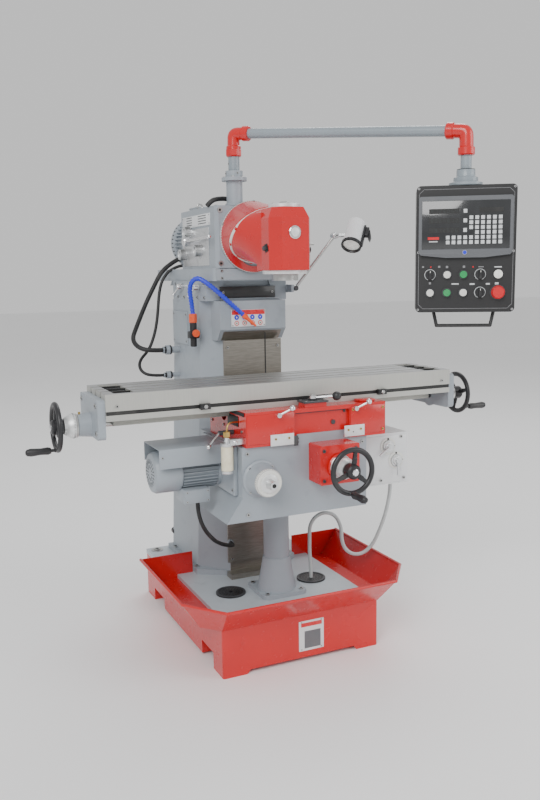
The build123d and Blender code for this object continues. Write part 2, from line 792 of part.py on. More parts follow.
def table():
    """Table slab with T-slots, pockets, dog groove, keel and end brackets."""
    half = table_width / 2
    low = table_top - table_slab
    body = block(-table_end, table_end, -half, half, low, table_top)
    for row in (-1, 0, 1):
        y = row * slot_pitch
        body -= block(-table_end - 1, table_end + 1, y - slot_width / 2, y + slot_width / 2,
                      table_top - 28, table_top + 1)
        body -= block(-table_end - 1, table_end + 1, y - 12.5, y + 12.5,
                      table_top - 29, table_top - 17)
    for row in (-1, 1):
        y = row * (half - 20)
        body -= block(-table_end + 30, table_end - 30, y - 5, y + 5, table_top - 6, table_top + 1)
    for side in (-1, 1):
        middle = side * (table_end - 62)
        body -= block(middle - 32, middle + 32, -half + 14, half - 14, table_top - 9,
                      table_top + 1)
    body -= block(-table_end - 1, table_end + 1, -half - 1, -half + 8, low + 18, low + 30)
    deep = keel_half
    keel = [(-deep, low - keel_depth + slide_gap), (deep, low - keel_depth + slide_gap)]
    keel += [(deep - 8, low + 1), (8 - deep, low + 1)]
    reach = table_end - 40
    body += prism([(-reach, y, z) for y, z in keel], (2 * reach, 0, 0))
    body -= block(-reach - 1, reach + 1, -17, 17, low - keel_depth - 1, low - 8)
    return body


def end_bracket(side):
    """Bearing bracket bolted to one end of the table."""
    inner = side * table_end
    half = table_width / 2
    outer = side * (table_end + 24)
    body = block(min(inner, outer), max(inner, outer), -half + 6, half - 6,
                 lead_z - 34, table_top - 18)
    body = fillet(body.edges().filter_by(Axis.X), 14)
    body += bar((inner, 0, lead_z), (side * (table_end + 68), 0, lead_z), 42, 34)
    return body - bar((side * (table_end - 9), 0, lead_z), (side * (table_end + 90), 0, lead_z),
                      wheel_shaft + shaft_gap)


def stop_dog(x):
    """Adjustable stop dog clamped in the front groove of the table."""
    front = -table_width / 2
    z = table_top - table_slab + 24
    dog = block(x - 17, x + 17, front - 14, front - slide_gap, z - 9, z + 9)
    dog += block(x - 14, x + 14, front - 1, front + 7.6, z - 5.6, z + 5.6)
    return dog


def table_feed_lever():
    """Table feed lever with a round hub and a ball knob."""
    pivot = (52, saddle_front + 28, saddle_top + 15 + joint_gap)
    body = bar(pivot, (pivot[0], pivot[1], pivot[2] + 20), 13)
    tip = (pivot[0] + 72, pivot[1] - 36, pivot[2] + 18)
    body += bar((pivot[0], pivot[1], pivot[2] + 12), tip, 5)
    return body + ball(tip, 15)


# ---- Lamp ----------------------------------------------------------------
lamp_pivot = (184.0, 226.0, 1268.0 + head_shift)
lamp_elbow = (312.0, 150.0, 1459.0 + head_shift)


def lamp_arm():
    """Lamp arm with a ball at each end."""
    along = Vector(*lamp_elbow) - Vector(*lamp_pivot)
    body = bar(lamp_pivot, lamp_elbow, 6)
    body += Plane(origin=lamp_pivot, z_dir=along) * Sphere(11)
    return body + Plane(origin=lamp_elbow, z_dir=along) * Sphere(12)


def lamp_head():
    """Machine lamp: a cylindrical head with a bracket round the elbow."""
    x, y, z = lamp_elbow
    aim = Vector(-0.47, -0.435, -0.765).normalized()
    middle = Vector(x + 62, y - 34, z + 1)
    start = middle - aim * 60
    end = middle + aim * 52
    body = bar(tuple(start), tuple(end), 34) + bar(tuple(end - aim * 10), tuple(end + aim * 4), 37)
    body -= bar(tuple(end - aim * 16), tuple(end + aim * 6), 30)
    stem = bar((x + 13, y - 7, z), tuple(middle), 7)
    return body + stem


# ---- Coolant line --------------------------------------------------------
valve_x = -190.0
coolant_radius = 8.5
valve_y = 322.0
coolant_points = [(-190, 322, 1182), (-196, 316, 1222), (-206, 306, 1262), (-206, 290, 1296),
                  (-190, 268, 1314), (-168, 240, 1298), (-136, 208, 1264), (-96, 182, 1220),
                  (-52, 162, 1176)]


def coolant_valve():
    """Coolant tap on a bracket at the column's side."""
    z = 1100.0
    body = bar((valve_x, valve_y, z - 40), (valve_x, valve_y, z + 60), 12)
    body += block(valve_x - 19, valve_x + 19, valve_y - 16, valve_y + 16, z - 2, z + 24)
    body += bar((valve_x, valve_y, z + 59), (valve_x, valve_y, z + 82), 15)
    reach = -column_half_top
    arm = block(valve_x, reach + 4, valve_y + 20, valve_y + 28, z + 2, z + 20)
    arm += block(valve_x - 8, valve_x + 8, valve_y + 10, valve_y + 28, z + 2, z + 20)
    pad = block(reach - 1, reach + 4, valve_y + 8, valve_y + 58, z - 4, z + 26)
    solid = body + arm + pad
    return solid - extrude(column_outline(column_half_top, z - 60), amount=200, dir=(0, 0, 1))


def coolant_hose():
    """Jointed coolant hose with a tapered nozzle."""
    path = FilletPolyline(*coolant_points, radius=cord_radii(coolant_points))
    section = Plane(origin=path @ 0, z_dir=path % 0) * Circle(coolant_radius).face()
    last = Vector(*coolant_points[-1])
    tip = last + last - Vector(*coolant_points[-2])
    return sweep(section, path=path) + bar(tuple(last), tuple(tip), coolant_radius, 4)


# ---- Hoses and cables ----------------------------------------------------
ram_conduit_size = 18.0
ram_cable_size = 12.0
drain_hose_size = 14.0
motor_lead_size = 14.0
ram_conduit_route = [(-112, 598, 1395), (-112, 648, 1395), (-134, 700, 1378), (-177, 732, 1340),
                     (-208, 744, 1278), (-242, 736, 1220), (-274, 714, 1166), (-304, 686, 1118),
                     (-335, 646, 1074), (-325, 605, 1043), (-286, 575, 1030), (-231, 575, 1030)]
ram_cable_route = [(-112, 598, 1362), (-112, 634, 1362), (-130, 664, 1358), (-162, 684, 1340),
                   (-190, 690, 1302), (-206, 682, 1250), (-216, 668, 1192), (-226, 660, 1134),
                   (-242, 654, 1078), (-268, 644, 1026), (-312, 631, 989), (-321, 602, 954),
                   (-292, 575, 930), (-231, 575, 930)]
drain_hose_route = [(440, -38, 565), (440, -38, 527), (434, -36, 478), (422, -30, 420),
                    (404, -20, 362), (385, -9, 312), (354, 3, 277), (318, 13, 271),
                    (286, 22, 289), (270, 30, 328), (272, 33, 378), (253, 40, 426),
                    (214, 49, 444), (174, 56, 431), (153, 64, 394), (156, 70, 345),
                    (157, 73, 300), (160, 74, 262), (163, 74, 228), (163, 74, 190)]
motor_lead_route = [(-310, -12, 572), (-310, -12, 540), (-303, -14, 500), (-286, -12, 462),
                    (-262, 0, 432), (-240, 26, 410), (-220, 58, 392), (-198, 90, 374),
                    (-172, 118, 356), (-143, 138, 342), (-120, 154, 333), (-108, 179, 328),
                    (-108, 207, 328)]


def cord_radii(route):
    """Largest bend radius that the two runs beside each corner allow."""
    radii = []
    for before, corner, after in zip(route, route[1:], route[2:]):
        first = Vector(*corner) - Vector(*before)
        second = Vector(*after) - Vector(*corner)
        half_turn = radians(first.get_angle(second)) / 2
        radii.append(0.45 * min(first.length, second.length) / tan(half_turn))
    return radii


def cord(name, route, size):
    """Tube along straight runs joined by arcs."""
    radii = cord_radii(route)
    path = FilletPolyline(*route, radius=radii)
    section = Plane(origin=path @ 0, z_dir=path % 0) * Circle(size / 2).face()
    tube = sweep(section, path=path)
    share = tube.volume / (pi * size * size / 4 * path.length)
    print(name, "length", round(path.length), "least radius", round(min(radii)),
          "volume share", round(share, 4))
    return tube


# ---- Write every node ----------------------------------------------------
def main():
    os.makedirs("parts", exist_ok=True)
    save("base_plinth", base_plinth())
    save("coolant_tray", coolant_tray())
    save("base_casting", base_casting())
    save("drain_covers", drain_cover(-drain_x), drain_cover(drain_x))
    save("screw_pedestal", screw_pedestal())
    save("column", column())
    save("column_fittings", *column_covers(), cable_gland(1030, 13), cable_gland(930, 9),
         lead_gland())
    save("ram_saddle", ram_saddle())
    save("coolant_line", coolant_valve(), coolant_hose())
    side = -column_half_top - joint_gap
    lever_z = column_top + 50
    for name, y in (("front", 330), ("rear", 515)):
        pivot = (side, y, lever_z)
        tip = (side - 26, y + 40, lever_z - 30)
        save(f"ram_lock_lever_{name}", clamp_lever(pivot, tip, (-1, 0, 0), 22))
    save("lamp_arm", lamp_arm())
    save("lamp_head", lamp_head())
    save("ram", ram())
    save("gearbox_housing", gearbox_housing())
    save("main_motor", main_motor())
    save("drive_shaft", drive_shaft())
    save("arm_mast", arm_mast())
    save("speed_lever", speed_lever())
    for name, y, z in (("upper", 470, 28), ("lower", 530, -54), ("front", 356, -44)):
        save(f"gear_knob_{name}", gear_knob(y, drive_z + z))
    save("head_swivel", head_swivel())
    save("head_body", head_body())
    save("spindle", spindle())
    save("pendant_arm", pendant_arm())
    save("pendant_box", pendant_box())
    save("readout_panel", readout_panel())
    for number, (x, z) in enumerate(button_places, 1):
        save(f"push_button_{number}", push_button(x, z))
    for number, (x, z) in enumerate(knob_places, 1):
        save(f"rotary_switch_{number}", rotary_switch(x, z))
    save("emergency_stop", emergency_stop())
    save("knee", knee())
    save("elevating_screw", elevating_screw())
    save("elevation_shaft", elevation_shaft())
    save("cross_feed_block", cross_feed_block())
    save("cross_handwheel", cross_handwheel())
    save("feed_motor", feed_motor(), feed_motor_guard())
    save("feed_gearbox", feed_gearbox())
    save("feed_selector_upper", feed_selector(380, 706, 215))
    save("feed_selector_lower", feed_selector(414, 652, 270))
    save("saddle", saddle())
    for name, x in (("left", -91), ("right", 196)):
        pivot = (x, saddle_front - joint_gap, saddle_top - 14)
        tip = (x + 40, saddle_front - 30, saddle_top + 8)
        save(f"saddle_lock_{name}", clamp_lever(pivot, tip, (0, -1, 0), 18))
    save("table_feed_lever", table_feed_lever())
    save("table", table())
    save("table_end_brackets", end_bracket(-1), end_bracket(1))
    save("table_leadscrew", table_leadscrew())
    save("table_handwheels", table_handwheel(-1, (0, -0.1, -1)),
         table_handwheel(1, (0, -0.7, -0.7)))
    save("stop_dog_left", stop_dog(-318))
    save("stop_dog_right", stop_dog(340))
    save("ram_conduit", cord("ram conduit", ram_conduit_route, ram_conduit_size))
    save("ram_cable", cord("ram cable", ram_cable_route, ram_cable_size))
    save("drain_hose", cord("drain hose", drain_hose_route, drain_hose_size))
    save("motor_lead", cord("motor lead", motor_lead_route, motor_lead_size))


main()
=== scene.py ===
import json
from math import cos, radians, sin, tau

import bmesh
import bpy
from bpy.props import FloatVectorProperty, IntProperty, PointerProperty
from mathutils import Matrix, Vector


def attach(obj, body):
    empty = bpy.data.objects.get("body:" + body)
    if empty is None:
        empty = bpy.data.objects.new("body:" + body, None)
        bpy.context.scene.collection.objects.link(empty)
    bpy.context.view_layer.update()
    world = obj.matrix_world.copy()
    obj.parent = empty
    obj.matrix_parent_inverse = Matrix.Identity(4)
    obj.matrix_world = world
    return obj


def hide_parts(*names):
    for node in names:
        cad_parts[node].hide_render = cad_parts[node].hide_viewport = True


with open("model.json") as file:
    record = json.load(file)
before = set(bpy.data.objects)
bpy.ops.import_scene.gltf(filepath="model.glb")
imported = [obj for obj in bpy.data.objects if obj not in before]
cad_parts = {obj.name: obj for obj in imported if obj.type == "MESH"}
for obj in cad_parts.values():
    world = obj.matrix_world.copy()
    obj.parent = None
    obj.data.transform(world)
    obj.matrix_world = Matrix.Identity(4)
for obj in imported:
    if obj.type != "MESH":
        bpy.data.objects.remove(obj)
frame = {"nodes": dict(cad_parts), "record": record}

bl_info = {
    "name": "Knee Milling Machine",
    "version": (1, 0, 0),
    "blender": (4, 5, 0),
    "location": "3D View > Sidebar > Milling Machine",
    "description": "Finishes, fittings, cords and stage for the milling machine frame",
    "category": "Object",
}

MM = 0.001
SHARP = radians(32)
CAMERA_PLACE = (-1.2135, -2.5894, 1.3209)
CAMERA_RIGHT = (0.90844, -0.41778, -0.01491)
CAMERA_UP = (0.07594, 0.12986, 0.98863)
LENS = 37.34
SENSOR = 36
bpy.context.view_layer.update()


# ---- Settings ------------------------------------------------------------
class MILL_PG_paint(bpy.types.PropertyGroup):
    """Colours that a user may change."""
    red: FloatVectorProperty(
        name="Red paint", description="Gloss paint of the base, tray, saddle and head",
        subtype="COLOR", size=3, min=0, max=1, default=(0.56, 0.008, 0.008))
    grey: FloatVectorProperty(
        name="Grey paint", description="Machine paint of the castings",
        subtype="COLOR", size=3, min=0, max=1, default=(0.30, 0.335, 0.37))
    hose: FloatVectorProperty(
        name="Coolant hose", description="Plastic of the jointed coolant hose",
        subtype="COLOR", size=3, min=0, max=1, default=(0.02, 0.035, 0.62))


class MILL_PG_sizes(bpy.types.PropertyGroup):
    """Counts of ribs and marks that a user may change."""
    motor_ribs: IntProperty(
        name="Motor ribs", description="Cooling ribs round the main motor", default=44)
    feed_ribs: IntProperty(
        name="Feed motor ribs", description="Cooling ribs round the feed motor", default=32)
    dial_marks: IntProperty(
        name="Dial marks", description="Graduations on each handwheel dial", default=50)


# ---- Finishes ------------------------------------------------------------
class Wire:
    """A node's socket that takes part in ordinary arithmetic."""

    def __init__(self, finish, socket):
        self.finish = finish
        self.socket = socket

    def maths(self, operation, first, second):
        return self.finish.add("ShaderNodeMath", {"operation": operation},
                               {0: first, 1: second})

    def __add__(self, other):
        return self.maths("ADD", self, other)

    def __radd__(self, other):
        return self.maths("ADD", other, self)

    def __sub__(self, other):
        return self.maths("SUBTRACT", self, other)

    def __rsub__(self, other):
        return self.maths("SUBTRACT", other, self)

    def __mul__(self, other):
        return self.maths("MULTIPLY", self, other)

    def __rmul__(self, other):
        return self.maths("MULTIPLY", other, self)

    def __abs__(self):
        return self.maths("ABSOLUTE", self, 0.0)

    def past(self, level, soft):
        """0 before a level, 1 after it, with a soft step between."""
        return self.finish.add(
            "ShaderNodeMapRange", {"interpolation_type": "SMOOTHSTEP"},
            {0: self, 1: level, 2: level + soft, 3: 0.0, 4: 1.0})


class Finish:
    """The nodes of one finish."""

    def __init__(self, name):
        self.material = bpy.data.materials.new(name)
        self.material.use_nodes = True
        self.tree = self.material.node_tree
        self.tree.nodes.clear()
        self.place = self.add("ShaderNodeTexCoord", out="Object")

    def add(self, kind, settings=None, values=None, out=0):
        node = self.tree.nodes.new(kind)
        for key, value in (settings or {}).items():
            if key == "stops":
                for stop, (place, colour) in zip(node.color_ramp.elements, value):
                    stop.position = place
                    stop.color = colour
            else:
                setattr(node, key, value)
        for key, value in (values or {}).items():
            if isinstance(value, Wire):
                self.tree.links.new(value.socket, node.inputs[key])
            else:
                node.inputs[key].default_value = value
        return Wire(self, node.outputs[out]) if len(node.outputs) else node

    def axes(self):
        node = self.add("ShaderNodeSeparateXYZ", None, {0: self.place})
        return [Wire(self, socket) for socket in node.socket.node.outputs]

    def noise(self, scale, detail=3.0, stretch=(1, 1, 1)):
        place = self.add("ShaderNodeVectorMath", {"operation": "MULTIPLY"},
                         {0: self.place, 1: stretch})
        return self.add("ShaderNodeTexNoise", None,
                        {"Vector": place, "Scale": scale, "Detail": detail})

    def mix(self, share, first, second):
        return self.add("ShaderNodeMix", {"data_type": "RGBA"},
                        {0: share, 6: first, 7: second}, out=2)

    def spots(self, scale, low, high):
        """Rare patches, such as scuffs or grime."""
        return self.noise(scale, 6.0).past(low, high - low)

    def close(self, colour, rough, metal=0.0, relief=None, depth=0.0002, **fixed):
        values = {"Base Color": colour, "Roughness": rough, "Metallic": metal}
        if relief is not None:
            values["Normal"] = self.add("ShaderNodeBump", None,
                                        {"Strength": 0.6, "Distance": depth, "Height": relief})
        for key, value in fixed.items():
            values[key.replace("_", " ").title()] = value
        shader = self.add("ShaderNodeBsdfPrincipled", None, values)
        self.add("ShaderNodeOutputMaterial", None, {"Surface": shader})
        return self.material


def tone(colour, factor=1.0):
    """Colour with alpha, made lighter or darker."""
    return (*[min(1.0, channel * factor) for channel in colour[:3]], 1.0)


def gloss_paint(name, colour, rough=0.2, peel=0.00012):
    """Sprayed paint with orange peel, dust and dull patches."""
    finish = Finish(name)
    cloud = finish.noise(5, 4)
    scuff = finish.spots(38, 0.60, 0.74)
    body = finish.mix(cloud, tone(colour, 0.86), tone(colour, 1.12))
    body = finish.mix(scuff * 0.22, body, tone(colour, 0.55))
    wave = finish.noise(260, 2)
    return finish.close(body, rough + 0.12 * cloud + 0.16 * scuff, 0.0, wave, peel,
                        coat_weight=0.35, coat_roughness=0.12)


def casting_paint(name, colour, ground=None):
    """Machine paint on a casting; ground picks the bare sliding faces."""
    finish = Finish(name)
    cloud = finish.noise(4, 5)
    grime = finish.spots(16, 0.56, 0.78)
    body = finish.mix(cloud, tone(colour, 0.86), tone(colour, 1.13))
    body = finish.mix(grime * 0.3, body, tone(colour, 0.6))
    rough = 0.36 + 0.14 * cloud + 0.1 * grime
    cast = finish.noise(120, 4)
    if ground is None:
        return finish.close(body, rough, 0.0, cast, 0.0004, coat_weight=0.15)
    bare = ground(finish)
    grain = finish.noise(30, 6, (1, 1, 14))
    steel = finish.mix(grain, (0.17, 0.155, 0.135, 1), (0.40, 0.375, 0.33, 1))
    body = finish.mix(bare, body, steel)
    return finish.close(body, rough - 0.08 * bare, 0.75 * bare, cast * (1 - bare) + 0.3 * grain,
                        0.0003, coat_weight=0.1)


def way_faces(finish):
    """Sliding faces of the column."""
    x, y, z = finish.axes()
    return (1 - y.past(0.2372, 0.0004)) * (1 - abs(x).past(0.1152, 0.0004)) * (
        1 - z.past(1.118, 0.001))


def table_iron():
    """Ground table top with traces of use, and light painted sides."""
    finish = Finish("table_iron")
    x, y, z = finish.axes()
    top = z.past(0.9682, 0.0004)
    grain = finish.noise(60, 5, (0.08, 9, 1))
    ring = finish.noise(14, 6)
    iron = finish.mix(grain, (0.23, 0.235, 0.24, 1), (0.50, 0.505, 0.51, 1))
    iron = finish.mix(ring.past(0.55, 0.2) * 0.35, iron, (0.18, 0.165, 0.15, 1))
    milled = finish.noise(120, 3, (9, 1, 0.12))
    side = finish.mix(milled, (0.40, 0.40, 0.375, 1), (0.52, 0.52, 0.485, 1))
    body = finish.mix(top, side, iron)
    rough = 0.42 - 0.12 * top + 0.14 * grain
    return finish.close(body, rough, 0.45 + 0.4 * top, grain * top + milled * (1 - top), 0.0001)


def metal(name, colour, rough, grain_along=(1, 1, 1), grain=90.0, metallic=1.0):
    """Machined metal with a grain and faint stains."""
    finish = Finish(name)
    lines = finish.noise(grain, 4, grain_along)
    stain = finish.spots(22, 0.58, 0.72)
    body = finish.mix(lines, tone(colour, 0.78), tone(colour, 1.16))
    body = finish.mix(stain * 0.35, body, tone(colour, 0.5))
    return finish.close(body, rough + 0.12 * lines + 0.14 * stain, metallic, lines, 0.00006)


def plastic(name, colour, rough, texture=500.0, depth=0.00012):
    """Moulded plastic or rubber with a fine skin and a little dust."""
    finish = Finish(name)
    skin = finish.noise(texture, 2)
    dust = finish.spots(14, 0.5, 0.8)
    body = finish.mix(skin, tone(colour, 0.85), tone(colour, 1.15))
    body = finish.mix(dust * 0.12, body, (0.3, 0.29, 0.27, 1))
    return finish.close(body, rough + 0.1 * dust + 0.06 * skin, 0.0, skin, depth)


def screen_glass():
    """Dark display behind a faintly smeared window."""
    finish = Finish("screen_glass")
    smear = finish.noise(30, 5, (1, 1, 0.3))
    body = finish.mix(smear, (0.006, 0.007, 0.008, 1), (0.022, 0.024, 0.027, 1))
    return finish.close(body, 0.08 + 0.14 * smear, 0.0, coat_weight=0.8, coat_roughness=0.05)


def glow(name, colour, strength):
    """Lit segment or lens."""
    finish = Finish(name)
    patch = finish.noise(90, 2)
    body = finish.mix(patch, tone(colour, 0.6), tone(colour, 1.0))
    return finish.close(body, 0.3 + 0.1 * patch, 0.0, emission_color=body,
                        emission_strength=strength)


def clear_cup():
    """Oil in a glass cup."""
    finish = Finish("oil_cup")
    film = finish.noise(60, 3)
    body = finish.mix(film, (0.62, 0.55, 0.36, 1), (0.86, 0.82, 0.66, 1))
    return finish.close(body, 0.05 + 0.06 * film, 0.0, coat_weight=0.6)


PAINTS = ("red", "grey", "hose")
MAKERS = {
    "red_paint": (gloss_paint, "red"),
    "grey_paint": (casting_paint, "grey"),
    "way_paint": (casting_paint, "grey", way_faces),
    "tube_paint": (gloss_paint, (0.24, 0.28, 0.31), 0.34),
    "plate_paint": (casting_paint, (0.42, 0.46, 0.49)),
    "ground_iron": (table_iron,),
    "white_paint": (gloss_paint, (0.70, 0.71, 0.72), 0.3),
    "black_paint": (gloss_paint, (0.009, 0.009, 0.010), 0.42, 0.0002),
    "black_plastic": (plastic, (0.016, 0.016, 0.018), 0.34),
    "dark_grey": (plastic, (0.045, 0.047, 0.052), 0.5),
    "grey_plastic": (plastic, (0.115, 0.12, 0.13), 0.42),
    "key_plastic": (plastic, (0.6, 0.62, 0.63), 0.4),
    "red_plastic": (plastic, (0.62, 0.02, 0.025), 0.22, 200),
    "green_plastic": (plastic, (0.02, 0.30, 0.09), 0.22, 200),
    "white_plastic": (plastic, (0.72, 0.72, 0.68), 0.26, 200),
    "orange_plastic": (plastic, (0.82, 0.09, 0.015), 0.3, 200),
    "blue_plastic": (plastic, "hose", 0.3, 300),
    "black_rubber": (plastic, (0.013, 0.013, 0.014), 0.52, 700, 0.0002),
    "grey_hose": (plastic, (0.50, 0.53, 0.53), 0.3, 350),
    "steel": (metal, (0.50, 0.50, 0.49), 0.28),
    "chrome": (metal, (0.80, 0.80, 0.81), 0.08),
    "aluminium": (metal, (0.72, 0.73, 0.74), 0.3, (1, 1, 1), 160),
    "brass": (metal, (0.62, 0.42, 0.14), 0.26),
    "satin_dial": (metal, (0.78, 0.79, 0.79), 0.34, (1, 1, 1), 60, 0.55),
    # Black for printed marks, and also painted shade in sockets, slots, vents and recesses.
    "black_mark": (plastic, (0.012, 0.012, 0.012), 0.5),
    "screen_glass": (screen_glass,),
    "digit_glow": (glow, (0.05, 0.062, 0.06), 0.01),
    "grey_mark": (plastic, (0.24, 0.24, 0.25), 0.45),
    "lens_glass": (glow, (0.85, 0.85, 0.80), 0.4),
    "oil_cup": (clear_cup,),
}
MADE = {}


def look(name):
    """The finish of that name, made once."""
    if name not in MADE:
        maker, *how = MAKERS[name]
        how = [getattr(bpy.context.scene.mill_paint, item) if item in PAINTS else item
               for item in how]
        MADE[name] = maker(name, *how) if how else maker()
    return MADE[name]


# ---- Repeated parts ------------------------------------------------------
class Grower:
    """A Geometry Nodes tree with named inputs."""

    def __init__(self, name, inputs):
        self.tree = bpy.data.node_groups.new(name, "GeometryNodeTree")
        face = self.tree.interface
        face.new_socket("Base", in_out="INPUT", socket_type="NodeSocketGeometry")
        for label, kind in inputs:
            face.new_socket(label, in_out="INPUT", socket_type="NodeSocket" + kind)
        face.new_socket("Finish", in_out="INPUT", socket_type="NodeSocketMaterial")
        face.new_socket("Result", in_out="OUTPUT", socket_type="NodeSocketGeometry")
        self.start = self.tree.nodes.new("NodeGroupInput")

    def add(self, kind, settings=None, values=None):
        node = self.tree.nodes.new(kind)
        for key, value in (settings or {}).items():
            setattr(node, key, value)
        for key, value in (values or {}).items():
            if isinstance(value, bpy.types.NodeSocket):
                self.tree.links.new(value, node.inputs[key])
            else:
                node.inputs[key].default_value = value
        return node

    def given(self, name):
        return self.start.outputs[name]

    def end(self, instances):
        real = self.add("GeometryNodeRealizeInstances", None, {0: instances})
        coat = self.add("GeometryNodeSetMaterial", None,
                        {"Geometry": real.outputs[0], "Material": self.given("Finish")})
        self.add("NodeGroupOutput", None, {0: coat.outputs[0]})
        return self.tree


def box_size(grower, x, y, z):
    """Vector from three named sizes."""
    return grower.add("ShaderNodeCombineXYZ", None,
                      {0: grower.given(x), 1: grower.given(y), 2: grower.given(z)}).outputs[0]


def ring_tree():
    """Equal bars round a circle: ribs, slots or graduations."""
    grower = Grower("bars_round_a_circle", [("Radius", "Float"), ("Count", "Int"),
                                            ("Depth", "Float"), ("Width", "Float"),
                                            ("Height", "Float")])
    circle = grower.add("GeometryNodeMeshCircle", None,
                        {"Vertices": grower.given("Count"), "Radius": grower.given("Radius")})
    bar = grower.add("GeometryNodeMeshCube", None,
                     {"Size": box_size(grower, "Depth", "Width", "Height")})
    place = grower.add("GeometryNodeInputPosition")
    turn = grower.add("FunctionNodeAlignRotationToVector", {"axis": "X"},
                      {"Vector": place.outputs[0]})
    copies = grower.add("GeometryNodeInstanceOnPoints", None,
                        {"Points": circle.outputs[0], "Instance": bar.outputs[0],
                         "Rotation": turn.outputs[0]})
    return grower.end(copies.outputs[0])


def grid_tree():
    """Equal blocks on a flat grid: keys, slats or drain slots."""
    grower = Grower("blocks_on_a_grid", [("Columns", "Int"), ("Rows", "Int"),
                                         ("Across", "Float"), ("Up", "Float"),
                                         ("Depth", "Float"), ("Width", "Float"),
                                         ("Height", "Float")])
    grid = grower.add("GeometryNodeMeshGrid", None,
                      {"Size X": grower.given("Across"), "Size Y": grower.given("Up"),
                       "Vertices X": grower.given("Columns"),
                       "Vertices Y": grower.given("Rows")})
    key = grower.add("GeometryNodeMeshCube", None,
                     {"Size": box_size(grower, "Width", "Height", "Depth")})
    copies = grower.add("GeometryNodeInstanceOnPoints", None,
                        {"Points": grid.outputs[0], "Instance": key.outputs[0]})
    return grower.end(copies.outputs[0])


def screw_tree():
    """A round head on each point of the base, along its aim."""
    grower = Grower("screw_heads", [("Radius", "Float"), ("Sides", "Int"), ("Height", "Float")])
    head = grower.add("GeometryNodeMeshCylinder", None,
                      {"Vertices": grower.given("Sides"), "Radius": grower.given("Radius"),
                       "Depth": grower.given("Height")})
    aim = grower.add("GeometryNodeInputNamedAttribute", {"data_type": "FLOAT_VECTOR"},
                     {"Name": "aim"})
    turn = grower.add("FunctionNodeAlignRotationToVector", {"axis": "Z"},
                      {"Vector": aim.outputs[0]})
    copies = grower.add("GeometryNodeInstanceOnPoints", None,
                        {"Points": grower.given("Base"), "Instance": head.outputs["Mesh"],
                         "Rotation": turn.outputs[0]})
    return grower.end(copies.outputs[0])


def bead_tree():
    """Beads strung along the base line."""
    grower = Grower("beads_on_a_line", [("Spacing", "Float"), ("Radius", "Float")])
    line = grower.add("GeometryNodeMeshToCurve", None, {0: grower.given("Base")})
    steps = grower.add("GeometryNodeCurveToPoints", {"mode": "LENGTH"},
                       {"Curve": line.outputs[0], "Length": grower.given("Spacing")})
    small = grower.add("ShaderNodeMath", {"operation": "MULTIPLY"},
                       {0: grower.given("Radius"), 1: 0.66})
    cone = grower.add("GeometryNodeMeshCone", None,
                      {"Vertices": 18, "Radius Top": small.outputs[0],
                       "Radius Bottom": grower.given("Radius"), "Depth": grower.given("Spacing")})
    ball = grower.add("GeometryNodeMeshUVSphere", None,
                      {"Segments": 18, "Rings": 10, "Radius": small.outputs[0]})
    both = grower.add("GeometryNodeJoinGeometry")
    grower.tree.links.new(cone.outputs["Mesh"], both.inputs[0])
    grower.tree.links.new(ball.outputs["Mesh"], both.inputs[0])
    copies = grower.add("GeometryNodeInstanceOnPoints", None,
                        {"Points": steps.outputs["Points"], "Instance": both.outputs[0],
                         "Rotation": steps.outputs["Rotation"]})
    return grower.end(copies.outputs[0])


TREES = {"ring": ring_tree, "grid": grid_tree, "screw": screw_tree, "bead": bead_tree}
GROWN = {}


def grow(kind, base, finish, **values):
    """Plain mesh that a tree makes from its inputs."""
    if kind not in GROWN:
        GROWN[kind] = TREES[kind]()
    tree = GROWN[kind]
    host = bpy.data.objects.new("host", base)
    bpy.context.scene.collection.objects.link(host)
    modifier = host.modifiers.new("grow", "NODES")
    modifier.node_group = tree
    sockets = {item.name: item.identifier for item in tree.interface.items_tree
               if item.in_out == "INPUT"}
    modifier[sockets["Finish"]] = look(finish)
    for key, value in values.items():
        modifier[sockets[key.title()]] = value
    ready = host.evaluated_get(bpy.context.evaluated_depsgraph_get())
    mesh = bpy.data.meshes.new_from_object(ready)
    host.modifiers.remove(modifier)
    bpy.data.objects.remove(host)
    return mesh


# ---- Mesh making ---------------------------------------------------------
def at(x, y, z):
    """Place at a point, unturned."""
    return Matrix.Translation((x, y, z))


def aimed(x, y, z, direction):
    """Place whose own Z runs along a direction."""
    turn = Vector(direction).to_track_quat("Z", "Y").to_matrix().to_4x4()
    return Matrix.Translation((x, y, z)) @ turn


def drum(radius, low, high, edge=1.0):
    """Outline of a plain turned drum with eased edges."""
    return [(0, low), (radius - edge, low), (radius, low + edge), (radius, high - edge),
            (radius - edge, high), (0, high)]


def round_end(radius, middle, steps=8):
    """Outline of a ball."""
    return [(radius * sin(tau / 2 * i / steps), middle - radius * cos(tau / 2 * i / steps))
            if 0 < i < steps else (0, middle - radius * cos(tau / 2 * i / steps))
            for i in range(steps + 1)]


